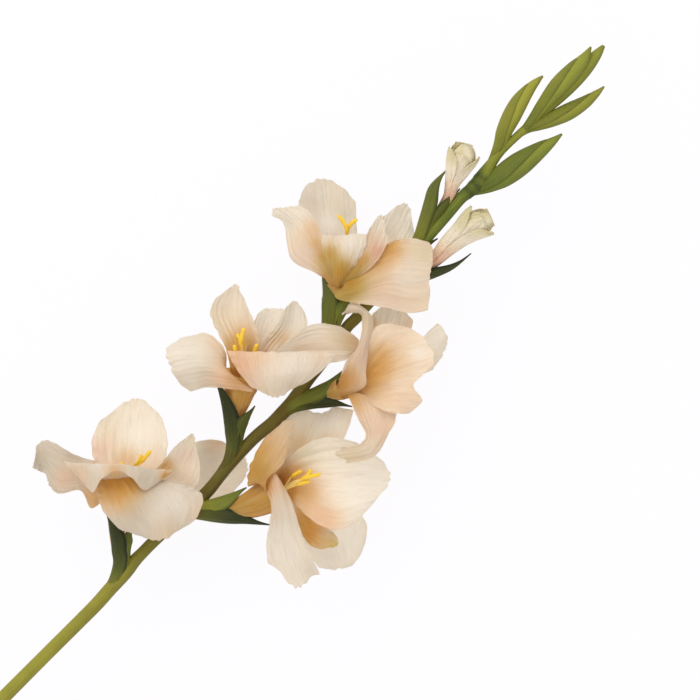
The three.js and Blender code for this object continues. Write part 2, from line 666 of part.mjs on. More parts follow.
// A blade of even thickness on a grid of middle points: both faces are split alike
function bladeSolid(middle, thickness, grow = 0) {
  const grid = grow > 0 ? widened(middle, grow) : middle;
  const thick = thickness + 2 * grow;
  const rows = grid.length;
  const cols = grid[0].length;
  const span = (list, i) => list[Math.min(i + 1, list.length - 1)].clone().sub(list[Math.max(i - 1, 0)]);
  const faces = [thick / 2, -thick / 2].map((lift) =>
    grid.flatMap((row, i) =>
      row.map((p, j) => {
        const column = grid.map((r) => r[j]);
        const along = span(column, i);
        const across = span(row, j);
        return p.clone().addScaledVector(along.cross(across).normalize(), lift);
      }),
    ),
  );
  const under = rows * cols;
  const at = (i, j) => i * cols + j;
  const triangles = [];
  for (let i = 0; i < rows - 1; i++) {
    for (let j = 0; j < cols - 1; j++) {
      const [a, b, c, d] = [at(i, j), at(i + 1, j), at(i + 1, j + 1), at(i, j + 1)];
      triangles.push([a, b, c], [a, c, d]);
      triangles.push([a + under, c + under, b + under], [a + under, d + under, c + under]);
    }
  }
  const rim = [
    ...steps(cols, 0, cols - 1).map((j) => at(0, j)),
    ...steps(rows, 0, rows - 1).slice(1).map((i) => at(i, cols - 1)),
    ...steps(cols, cols - 1, 0).slice(1).map((j) => at(rows - 1, j)),
    ...steps(rows, rows - 1, 0).slice(1, -1).map((i) => at(i, 0)),
  ];
  rim.forEach((a, k) => {
    const b = rim[(k + 1) % rim.length];
    triangles.push([a, b, b + under], [a, b + under, a + under]);
  });
  return solidFrom(faces.flat(), triangles);
}

// The sections of a tepal, with two more at its foot: inside the funnel and on the funnel's rim
function sections(bloom, tepal) {
  const points = (row) => steps(row.length / 3, 0, row.length / 3 - 1).map((k) => vec(row.slice(3 * k)));
  const rows = tepal.rows.map(points);
  const throat = vec(bloom.throat);
  const axis = vec(bloom.axis).normalize();
  const count = rows[0].length;
  const out = rows[0][(count - 1) / 2].clone().sub(throat);
  out.addScaledVector(axis, -out.dot(axis)).normalize();
  const across = new THREE.Vector3().crossVectors(axis, out);
  if (rows[0].at(-1).clone().sub(rows[0][0]).dot(across) < 0) across.negate();
  const claw = THREE.MathUtils.degToRad(tepal.claw ?? 38);
  const foot = (radius, down) =>
    steps(count, -claw, claw).map((a) =>
      throat
        .clone()
        .addScaledVector(axis, -down)
        .addScaledVector(out, radius * Math.cos(a))
        .addScaledVector(across, radius * Math.sin(a)),
    );
  return [foot(0.8 * bloom.ring, 9), foot(bloom.ring, 0), ...rows];
}

// A sheet through sections, read at a share of its length and a place -1..1 across
function sheet(control) {
  const wide = lengthened(control[0]).length;
  const widened = control.map(lengthened);
  const columns = steps(wide, 0, wide - 1).map((j) => lengthened(widened.map((row) => row[j])));
  const rowSpans = control.length - 1;
  const columnSpans = control[0].length - 1;
  return (share, across) => {
    const x = share * rowSpans;
    const y = ((across + 1) / 2) * columnSpans;
    const i = clamp(Math.floor(x), 0, rowSpans - 1);
    const j = clamp(Math.floor(y), 0, columnSpans - 1);
    const wx = weights(x - i);
    const wy = weights(y - j);
    const p = new THREE.Vector3();
    wx.forEach((a, k) => wy.forEach((b, l) => p.addScaledVector(columns[j + l][i + k], a * b)));
    return p;
  };
}

// The middle surface of a tepal: a sheet with rounded corners and a waved edge, bent where it meets the table
function tepalGrid(bloom, tepal, shares, nv) {
  const read = sheet(sections(bloom, tepal));
  const { ruffle, phase, waves = 3, corner = 0.8, round = 0.55 } = tepal;
  return shares.map((u) =>
    steps(nv, -1, 1).map((v) => {
      const t = clamp((u - round) / (1 - round), 0, 1);
      const edge = 1 - (1 - Math.abs(v) ** 3) * (1 - t ** 4);
      const turn = Math.atan2(v, u < round ? ((u - round) / round) * 1.5 : t + 1e-9);
      let along = u < round ? u : round + (1 - round) * t * Math.sqrt(1 - (corner * v * v) / 2);
      let across = v * Math.sqrt(1 - (corner * t * t) / 2);
      across *= 1 + EDGE_WANDER * Math.sin(5 * turn + 2 * phase) * edge;
      along = clamp(along + EDGE_WANDER * edge * t * (Math.sin(5 * turn + 1 + phase) - 1), 0, 1);
      const p = read(along, across);
      const du = read(along + 0.02, across).sub(read(along - 0.02, across));
      const dv = read(along, across + 0.02).sub(read(along, across - 0.02));
      const wave = Math.sin(waves * turn + phase) + 0.4 * Math.sin((2 * waves + 1) * turn + 1.3 * phase + 1);
      p.addScaledVector(du.cross(dv).normalize(), ruffle * edge * ease((u - 0.2) * 2) * wave);
      p.z = TABLE + PRESS * Math.log1p(Math.exp((p.z - TABLE) / PRESS));
      return p;
    }),
  );
}

// A blade rolled round a path of x y z radius, narrowing to its tip
function rolledGrid({ path, facing, spread, reach = 1, narrow = 1.6, flat = 1, blunt = 0.03 }, nu, nv) {
  const read = line(path);
  return steps(nu, 0, 1).map((u) => {
    const { place, side, top } = station(read, u * reach);
    const r = Math.max(read(u * reach).w, LEAST_ROLL);
    const half = THREE.MathUtils.degToRad(spread) * Math.sqrt(Math.max(1 - u ** narrow, blunt));
    return steps(nv, -1, 1).map((v) => {
      const a = THREE.MathUtils.degToRad(facing) + half * v;
      return place
        .clone()
        .addScaledVector(side, r * Math.cos(a))
        .addScaledVector(top, r * flat * Math.sin(a));
    });
  });
}

// Several solids joined, and the largest body of the result
function joined(solids) {
  return largest(solids.reduce((all, next) => all.add(next)));
}

function largest(solid) {
  const bodies = solid.simplify(SIMPLER).decompose();
  return bodies.reduce((a, b) => (b.volume() > a.volume() ? b : a));
}

// The leafy stem: stem, bracts and green buds. A positive grow makes the cutter that seats the blooms in it.
function greens(grow) {
  const stem = rod(STEM, 32, 8, grow);
  const blade = (grid) => bladeSolid(grid, BRACT_THICK, grow);
  const bracts = Object.values(BRACTS).map((bract) => blade(rolledGrid(bract, ...BRACT_GRID)));
  const buds = Object.values(GREEN_BUDS).map((path) => rod(path, 8, 8, grow, BUD_FLAT));
  const folds = Object.values(GREEN_BUDS).map((path) => blade(budFold(path)));
  return joined([stem, ...bracts, ...buds, ...folds]);
}

// The bract folded over a green bud
function budFold(bud) {
  const path = bud.map((p) => [p[0], p[1], p[2], p[3] + 0.3]);
  return rolledGrid({ path, facing: 150, spread: 95, reach: 0.84, narrow: 1.4, flat: BUD_FLAT }, 6, 4);
}

// The stamens and style of a bloom, on a column in its funnel
function threads(name, grow) {
  const bloom = BLOOMS[name];
  const throat = vec(bloom.throat);
  const axis = vec(bloom.axis).normalize();
  const low = throat.clone().addScaledVector(axis, -14).toArray();
  const mid = throat.clone().addScaledVector(axis, -4).toArray();
  const high = throat.clone().addScaledVector(axis, 2).toArray();
  const column = rod(withRadius([low, mid, high], COLUMN_RADIUS), 3, 6, grow);
  const lines = STAMENS[name].map((points) => thread([mid, ...points], grow));
  return joined([column, ...lines]);
}

// One thread along a path, with its radius read evenly along it
function thread(path, grow) {
  const read = line(path);
  const last = THREAD_RADIUS.length - 1;
  return rod(THREAD_RADIUS.map((r, i) => [...spot(read(i / last)).toArray(), r]), last + 1, 5, grow);
}

// A bloom: six tepals on a funnel that is open at the throat
function bloomSolid(name, stem) {
  const bloom = BLOOMS[name];
  const path = [...bloom.tube, bloom.throat];
  const [low, mid] = FUNNEL_SHARE.map((share) => share * bloom.ring);
  const radius = [FUNNEL_FOOT[0], Math.max(FUNNEL_FOOT[1], low), mid, bloom.ring + 0.5];
  const funnel = rod(withRadius(path, radius), 6, 8);
  const blade = (tepal) => bladeSolid(tepalGrid(bloom, tepal, TEPAL_SHARES, TEPAL_ACROSS), TEPAL_THICK);
  const tepals = bloom.tepals.map(blade);
  const read = line(path);
  const over = bloom.throat.map((c, k) => c + 2 * bloom.axis[k]);
  const inner = bloom.ring - FUNNEL_WALL;
  const hollow = [spot(read(0.6)).toArray(), spot(read(0.8)).toArray(), bloom.throat, over];
  const bore = rod(withRadius(hollow, [BORE_FOOT, BORE_SHARE * bloom.ring, inner, inner + 1]), 4, 8);
  const whole = joined([funnel, ...tepals]);
  return largest(whole.subtract(bore).subtract(stem).subtract(threads(name, SEAT_GAP)));
}

function openingBudSolid(bud, stem) {
  const core = rod(withRadius(bud.path, bud.core), 5, 6, 0, BUD_FLAT);
  const rolled = (furl) => {
    const path = withRadius(bud.path, furl.radius);
    return rolledGrid({ ...furl, path, narrow: 7, flat: BUD_FLAT, blunt: FURL_BLUNT }, ...FURL_GRID);
  };
  const furls = bud.furls.map((furl) => bladeSolid(rolled(furl), TEPAL_THICK));
  return largest(joined([core, ...furls]).subtract(stem));
}

const edgeName = (a, b) => (a < b ? `${a} ${b}` : `${b} ${a}`);

// Which corners each corner is joined to
function neighbours(triangles) {
  const near = new Map();
  const add = (a, b) => near.set(a, (near.get(a) ?? new Set()).add(b));
  for (const [a, b, c] of triangles) {
    add(a, b).get(a).add(c);
    add(b, c).get(b).add(a);
    add(c, a).get(c).add(b);
  }
  return near;
}

// One round of drawing short edges to a point, where that keeps the surface closed
function withoutShortEdges(points, triangles) {
  const near = neighbours(triangles);
  const edges = new Map();
  for (const t of triangles) {
    t.forEach((a, k) => {
      const b = t[(k + 1) % 3];
      const long = points[a].distanceTo(points[b]);
      if (long < SHORT_EDGE) edges.set(edgeName(a, b), [long, a, b]);
    });
  }
  const moved = new Map();
  const touched = new Set();
  for (const [, a, b] of [...edges.values()].sort((x, y) => x[0] - y[0])) {
    const around = [...near.get(a), ...near.get(b)];
    const shared = [...near.get(a)].filter((c) => near.get(b).has(c));
    if (shared.length !== 2 || around.some((c) => touched.has(c))) continue;
    around.forEach((c) => touched.add(c));
    points[a].lerp(points[b], 0.5);
    moved.set(b, a);
  }
  return triangles
    .map((t) => t.map((c) => moved.get(c) ?? c))
    .filter(([a, b, c]) => a !== b && b !== c && c !== a);
}

// One round of turning the thinnest facets across their longest edge
function withoutThinFacets(points, triangles) {
  const owner = new Map();
  triangles.forEach((t, i) => {
    t.forEach((a, k) => owner.set(`${a} ${t[(k + 1) % 3]}`, [i, t[(k + 2) % 3]]));
  });
  const done = new Set();
  const out = triangles.map((t) => [...t]);
  triangles.forEach((t, i) => {
    const longs = t.map((a, k) => points[a].distanceTo(points[t[(k + 1) % 3]]));
    const k = longs.indexOf(Math.max(...longs));
    const [p, q, r] = [t[k], t[(k + 1) % 3], t[(k + 2) % 3]];
    const across = points[q].clone().sub(points[p]).cross(points[r].clone().sub(points[p])).length();
    if (across / longs[k] > THIN_FACET) return;
    const [j, s] = owner.get(`${q} ${p}`);
    if (done.has(i) || done.has(j) || owner.has(`${r} ${s}`) || owner.has(`${s} ${r}`)) return;
    out[i] = [p, s, r];
    out[j] = [s, q, r];
    done.add(i).add(j);
  });
  return out;
}

// The points and facets of a solid, without the slivers its cuts leave
function cleaned(solid) {
  const { vertProperties: v, triVerts } = solid.getMesh();
  const points = steps(v.length / 3, 0, v.length / 3 - 1).map((i) => vec(v.subarray(3 * i, 3 * i + 3)));
  let triangles = steps(triVerts.length / 3, 0, triVerts.length / 3 - 1).map((i) => [
    ...triVerts.subarray(3 * i, 3 * i + 3),
  ]);
  for (let round = 0; round < 8; round++) {
    triangles = withoutShortEdges(points, triangles);
    triangles = withoutThinFacets(points, triangles);
  }
  return { points, triangles };
}

const MATERIALS = {
  petal: new THREE.MeshStandardMaterial({ color: 0xf3dcc0, roughness: 0.6, side: THREE.DoubleSide }),
  stamen: new THREE.MeshStandardMaterial({ color: 0xe6b800, roughness: 0.6 }),
  green: new THREE.MeshStandardMaterial({ color: 0x7c8a34, roughness: 0.55 }),
};

// A named mesh in the part's frame: the sheet turned, centred and set on the table
function meshOf(name, solid, material) {
  const { points, triangles } = cleaned(solid);
  const geometry = new THREE.BufferGeometry();
  geometry.setFromPoints(points);
  geometry.setIndex(triangles.flat());
  geometry.rotateZ(SHEET_TURN);
  geometry.translate(-SHEET_MIDDLE[0], -SHEET_MIDDLE[1], -SHEET_DROP);
  geometry.computeVertexNormals();
  const made = new THREE.Mesh(geometry, material);
  made.name = name;
  return made;
}

const root = new THREE.Group();
root.name = "gladiolus";
const stemCutter = greens(SEAT_GAP);
const budCutter = greens(BUD_GAP);
root.add(meshOf("stem", greens(0), MATERIALS.green));
for (const name of Object.keys(BLOOMS)) {
  root.add(meshOf(name, bloomSolid(name, stemCutter), MATERIALS.petal));
  const stamens = largest(threads(name, 0).subtract(stemCutter));
  root.add(meshOf(name.replace("bloom", "stamens"), stamens, MATERIALS.stamen));
}
for (const [name, bud] of Object.entries(OPENING_BUDS)) {
  root.add(meshOf(name, openingBudSolid(bud, budCutter), MATERIALS.petal));
}

export default root;
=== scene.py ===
"""A cut gladiolus lying on a pale table, seen from straight above.

The petals, bracts, buds and stem are surfaces worked out with numpy on a layout sheet in millimetres: x
right, y up and z away from the table, as the camera sees them. placed() turns the sheet about Z so that the
stem lies along +X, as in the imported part, and scales it to metres.
"""

import bpy
import mathutils
import numpy as np
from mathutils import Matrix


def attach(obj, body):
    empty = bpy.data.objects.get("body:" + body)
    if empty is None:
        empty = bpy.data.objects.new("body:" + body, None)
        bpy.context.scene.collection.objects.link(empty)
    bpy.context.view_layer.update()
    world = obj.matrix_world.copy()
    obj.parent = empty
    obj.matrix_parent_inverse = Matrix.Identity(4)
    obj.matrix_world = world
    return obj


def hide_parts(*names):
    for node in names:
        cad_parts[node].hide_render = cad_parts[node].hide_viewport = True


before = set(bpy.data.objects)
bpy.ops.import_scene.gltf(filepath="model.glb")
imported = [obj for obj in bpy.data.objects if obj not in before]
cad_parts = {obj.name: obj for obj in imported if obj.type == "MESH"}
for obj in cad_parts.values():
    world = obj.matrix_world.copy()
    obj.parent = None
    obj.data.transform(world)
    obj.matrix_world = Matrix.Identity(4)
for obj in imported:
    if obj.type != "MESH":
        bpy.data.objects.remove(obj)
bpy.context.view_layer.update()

# The layout sheet in the part's frame, as the part's source places it
SHEET_TURN = np.radians(-47.3)
SHEET_MIDDLE = (151.079, -6.3745, 0.232)
MM = 0.001

# The camera looks straight down on the middle of the sheet
VIEW_MIDDLE = (175, 175)
VIEW_WIDTH = 350
VIEW_LEVEL = 45
VIEW_DISTANCE = 2400
VIEW_END = 20
SENSOR = 36

# The lamp and the room: places on the sheet in millimetres, the lamp's width in metres, its power in watts
LAMP_PLACE = (-350.0, 1250.0, 1250.0)
LAMP_AIM = (175.0, 175.0, 30.0)
LAMP_WIDTH = 1.3
LAMP_POWER = 8
LAMP_COLOUR = (1.0, 0.985, 0.96)
ROOM_COLOUR = (1.0, 0.985, 0.97, 1)
ROOM_STRENGTH = 1.0

# The table, in metres: half its width, its cells each way and how far it lies under the lowest petal
FLOOR_HALF = 2
FLOOR_CELLS = 8
FLOOR_DROP = 0.0002
FLOOR_GLOW = 0.93

# Thicknesses in millimetres
PETAL_THICK = 0.35
BRACT_THICK = 0.6
BUD_BRACT_THICK = 0.16

# A petal comes to rest with its middle TABLE above the table, bent over about PRESS, in millimetres
TABLE = 0.5
PRESS = 2.5

# Relief of a petal in millimetres: the crimps of its edge, its pleats and its midrib
CRIMP = 0.28
PLEAT = 0.24
MIDRIB = 0.35

# The funnel: its radius at the foot and its least a third of the way up, then shares of its ring's radius
FUNNEL_FOOT = (2.3, 2.6)
FUNNEL_SHARE = (0.4, 0.76)
FUNNEL_LIP = 0.5

# A petal's foot inside the funnel: how deep in millimetres, its share of the ring, its half angle in degrees
FOOT_DEPTH = 9
FOOT_SHARE = 0.8
CLAW = 38

# How far a petal's edge wanders in and out and how deep its nicks are, as shares of the petal
EDGE_WANDER = 0.012
EDGE_NICKS = 0.005

# The stamens' column: how far up from the throat, and its radius, in millimetres
COLUMN = ((-14, 1.2), (-4, 1.5), (2, 1.1))

# Buds: height as a share of width, how far a core lies within its outline, and how a furled petal narrows
BUD_FLAT = 0.8
CORE_INSET = 0.4
FURL_NARROW = 7
FURL_BLUNT = 0.2

# Relief as a share of the radius: the stem's ribs and collar rings, and the grooves of a closed bud
STEM_RIB = 0.018
STEM_RING = 0.05
BUD_GROOVE = 0.01

# Points along and across each kind of surface
PETAL_GRID = (108, 84)
FUNNEL_GRID = (60, 96)
COLUMN_GRID = (24, 20)
THREAD_GRID = (64, 20)
STALK_GRID = (900, 64)
BRACT_GRID = (76, 48)
GREEN_BUD_GRID = (140, 80)
BUD_BRACT_GRID = (96, 40)
CORE_GRID = (70, 72)
FURL_GRID = (84, 64)

# Colours, as the eye sees them, 0 to 255
CREAM = (251, 241, 223)
PEACH = (246, 204, 158)
GOLD = (228, 172, 52)
PINK = (240, 178, 152)
LIME = (204, 192, 66)
OLIVE = (144, 140, 46)
FRESH = (86, 108, 34)
LEAF_DARK = (30, 38, 10)
LEAF_PALE = (172, 170, 62)
BROWN = (104, 78, 30)
# painted shade: the grey tan that darkens petals where they lie in shade
PAINTED_SHADE = (196, 178, 152)
POLLEN = (228, 178, 16)
POLLEN_LIGHT = (250, 214, 70)
COLUMN_PALE = (246, 236, 190)
IVORY = (254, 248, 238)
# the petal's own white, also laid on as painted light where petals lie shaded under others
WHITE_AND_PAINTED_LIGHT = (254, 251, 245)
SHEEN = (255, 252, 244)
# painted shade in the creases of the petals
CREASE_SHADE = (206, 176, 132)
VEIN = (206, 150, 92)
VEIN_GOLD = (176, 128, 40)
THROUGH = (255, 248, 234)
GLOW = (252, 204, 96)
BUD_CREAM = (254, 243, 212)
BUD_PEACH = (250, 206, 150)
STREAK = (176, 172, 70)
FLECK = (196, 190, 104)
FLOOR = (254, 253, 255)
FLOOR_GRAIN = (252, 250, 254)

# How much light a petal and a bud's petal let through
PETAL_SHEER = 0.42
BUD_SHEER = 0.1

# The stem: x y z and radius from the cut end to the tip
STEM = [
    (-99.5, -101.5, 3.97, 3.75), (-66, -67.5, 11.1, 3.65), (-33, -34, 17.5, 3.55), (0, -0.5, 24, 3.5),
    (20, 19.6, 27.5, 3.4), (40, 39.5, 31, 3.4), (48, 47.6, 32.4, 3.45), (55, 55.5, 33.7, 3.5),
    (62.3, 63.3, 35, 3.45), (67.3, 69.6, 35.8, 3.2), (70.9, 73.3, 36.3, 3.0), (76.5, 79, 37, 3.0),
    (88, 89.8, 38.3, 3.0), (97, 97.5, 39.2, 3.2), (104.5, 105.1, 40, 3.1), (110, 112, 40.5, 3.0),
    (116, 119.3, 41, 3.1), (125, 128.9, 41.5, 3.1), (130, 133.5, 41.8, 3.2), (136, 138.2, 42, 3.4),
    (141, 143.3, 42, 3.5), (146.5, 149.3, 42, 3.6), (153.5, 159.5, 42, 3.2), (160, 167.5, 42, 3.0),
    (166.5, 176.5, 42, 3.0), (173.5, 186.4, 42, 2.9), (178, 190.9, 42.3, 2.9), (183, 197, 42.8, 2.85),
    (196, 211, 44, 2.85), (209, 226, 45, 2.9), (222.5, 241.6, 46, 2.95), (230, 250.4, 46.5, 2.95),
    (234, 253.8, 46.7, 3.2), (238.5, 257.6, 47, 3.9), (242, 262.7, 47.4, 3.5), (246.5, 269.3, 48, 2.5),
    (251, 275, 48.5, 2.2), (258, 281.5, 49, 2.0), (262, 285, 49.3, 2.1), (268, 290.5, 49.8, 1.6),
]

# The rings of the collar under the green buds, as shares of the stem's length
COLLAR_RINGS = (0.905, 0.914, 0.923)

# Bracts: a blade rolled round a path of x y z radius. Facing 0 is its right side from above, 90 is up.
BRACTS = {
    "bract_1_left": dict(
        facing=145, spread=116, dark=0.8,
        path=[(51, 51, 33, 2.0), (57, 59, 34.4, 3.0), (60.2, 68, 36.4, 3.8), (60.3, 75, 38.2, 4.6),
              (60.6, 81, 40, 5.2), (58.6, 88, 41.6, 4.4), (53.2, 96, 44, 0.6)],
    ),
    "bract_1_right": dict(
        facing=35, spread=112, dark=0.3,
        path=[(51, 50.8, 33, 1.9), (57.2, 59, 34.3, 2.8), (60.4, 68, 36.3, 3.6), (60.5, 75, 38.1, 4.3),
              (60.9, 81, 39.8, 5.1), (64, 88, 41.3, 1.4)],
    ),
    "bract_2_left": dict(
        facing=25, spread=114, dark=0.85,
        path=[(91, 93, 38.5, 2.0), (99, 94.2, 39.8, 3.9), (107, 94, 41.5, 4.9), (114, 93.5, 43, 5.1),
              (122, 92.6, 45, 4.4), (135.5, 88.2, 48, 0.6)],
    ),
    "bract_2_right": dict(
        facing=145, spread=108, dark=0.15,
        path=[(91, 93.3, 38.5, 1.9), (99, 94.8, 39.8, 3.7), (106, 95.5, 41.5, 4.6), (112, 97, 43, 4.8),
              (118, 100.5, 45, 3.6), (123.8, 106, 47, 0.6)],
    ),
    "bract_3_left": dict(
        facing=148, spread=114, dark=0.9,
        path=[(109, 111.5, 40.4, 1.9), (114.5, 119.5, 41.4, 2.8), (117, 127.8, 42.6, 3.7),
              (117.2, 134, 43.5, 4.5), (117.3, 140, 44.8, 5.2), (115.5, 148, 47, 4.5),
              (112, 156, 50.5, 2.8), (107.3, 163.5, 54, 0.5)],
    ),
    "bract_3_right": dict(
        facing=30, spread=110, dark=0.5,
        path=[(109, 111.3, 40.4, 1.8), (114.6, 119.3, 41.3, 2.7), (117.1, 127.8, 42.5, 3.5),
              (117.7, 134, 43.4, 4.4), (119, 140, 44.8, 5.1), (122, 143.8, 46.5, 4.0),
              (127.3, 147.6, 48, 0.6)],
    ),
    "bract_4_left": dict(
        facing=145, spread=112, dark=0.35,
        path=[(136, 138.5, 42, 2.0), (145, 146.6, 42.3, 3.3), (154, 150.2, 43.2, 4.2),
              (161, 152.6, 45, 4.9), (167, 157, 47.5, 3.8), (173.8, 165.8, 50, 0.5)],
    ),
    "bract_4_right": dict(
        facing=25, spread=112, dark=0.85,
        path=[(136, 138.3, 42, 1.9), (145, 146.3, 42.3, 3.1), (155, 149.7, 43.2, 4.1), (163, 151, 45, 4.6),
              (170, 150.2, 47.5, 3.3), (176.3, 147.2, 49, 0.5)],
    ),
    "bract_5_left": dict(
        facing=145, spread=114, dark=0.45,
        path=[(161, 169, 42, 1.9), (164.6, 179.5, 42.7, 3.3), (165.4, 188.5, 43.6, 4.4),
              (166.6, 196, 44.6, 5.6), (166.8, 203, 46, 5.6), (161.6, 213.6, 48, 0.6)],
    ),
    "bract_5_right": dict(
        facing=30, spread=112, dark=0.2,
        path=[(161, 168.8, 42, 1.8), (164.8, 179.3, 42.6, 3.1), (166, 188.5, 43.5, 4.2),
              (168, 195, 44.5, 5.2), (170.5, 200, 46, 5.2), (176.5, 205, 47.5, 0.8)],
    ),
    "bract_a_left": dict(
        facing=150, spread=112, dark=0.35,
        path=[(203, 219, 44.6, 1.9), (209.8, 230.4, 45.5, 3.2), (213.6, 240, 46.2, 3.9),
              (217, 248, 47, 5.0), (219.4, 255.3, 48, 4.7), (223.6, 264.6, 49, 0.5)],
    ),
    "bract_a_right": dict(
        facing=25, spread=106, dark=0.4,
        path=[(203, 218.8, 44.6, 1.8), (210.3, 230.2, 45.4, 2.9), (214.2, 239, 46, 3.4),
              (218.5, 246, 46.8, 4.2), (222.6, 250.8, 47.6, 3.2), (229.7, 256, 48.6, 0.5)],
    ),
    "bract_b_right": dict(
        facing=10, spread=104, dark=0.75,
        path=[(192, 206.5, 43.4, 1.9), (203, 211.8, 44.3, 3.6), (211, 213.8, 45, 4.4),
              (218, 216.6, 46, 4.7), (225.5, 219.2, 47, 3.6), (235.3, 223.7, 48, 0.5)],
    ),
    "bract_b_left": dict(
        facing=150, spread=98, dark=0.6,
        path=[(196, 209.8, 43.8, 1.8), (207.5, 218.5, 45, 3.2), (213, 224.5, 46, 3.0),
              (219.2, 230.4, 47, 0.5)],
    ),
}

# Closed green buds: x y z and half width, each with a bract folded over it, and how fresh a green each is
BUD_FRESH = (0.85, 0.25, 0.45, 0.55, 0.6)
GREEN_BUDS = {
    "green_bud_1": [
        (236.5, 254.5, 46.9, 2.4), (241, 256, 47.2, 3.2), (245.5, 258.2, 47.7, 4.3),
        (251.5, 262, 48.5, 5.8), (260, 268, 49.5, 6.0), (269.8, 274.8, 50, 4.1), (276, 279, 49.8, 2.2),
        (280.8, 282.8, 49.5, 0.5),
    ],
    "green_bud_2": [
        (243.5, 265.5, 47.6, 1.4), (247, 271.6, 48, 2.2), (250.2, 278, 49, 3.4), (252, 284, 50, 4.0),
        (255.6, 291.5, 51, 4.6), (259.5, 298.5, 52, 4.3), (264.2, 304.8, 52, 3.0), (268, 308.8, 51, 1.8),
        (271.2, 311.7, 50, 0.5),
    ],
    "green_bud_3": [
        (257, 280.6, 48.9, 1.2), (263.5, 285, 49.1, 1.9), (269, 287.4, 49.3, 2.9), (276, 290.2, 49.5, 3.8),
        (284.2, 294, 49.5, 4.2), (292.2, 298.6, 49, 3.2), (298, 303, 48.3, 1.8), (302, 306.6, 47.5, 0.4),
    ],
    "green_bud_4": [
        (257, 279.8, 49, 1.2), (262.5, 285.5, 49.8, 1.9), (267, 291, 50.6, 2.7), (272, 297.8, 52, 3.6),
        (279, 306.3, 53.5, 4.8), (286, 313.8, 54.5, 4.4), (291.5, 320, 54.5, 2.8), (295, 326, 54, 0.5),
    ],
    "green_bud_5": [
        (259, 282, 49, 1.2), (265, 287.5, 49.5, 1.8), (272, 294.8, 50, 2.9), (280, 303, 50.5, 4.0),
        (287, 310, 51, 4.2), (293, 316.5, 51, 3.8), (298, 322.3, 50.5, 2.6), (301.6, 326.8, 50, 0.9),
    ],
}

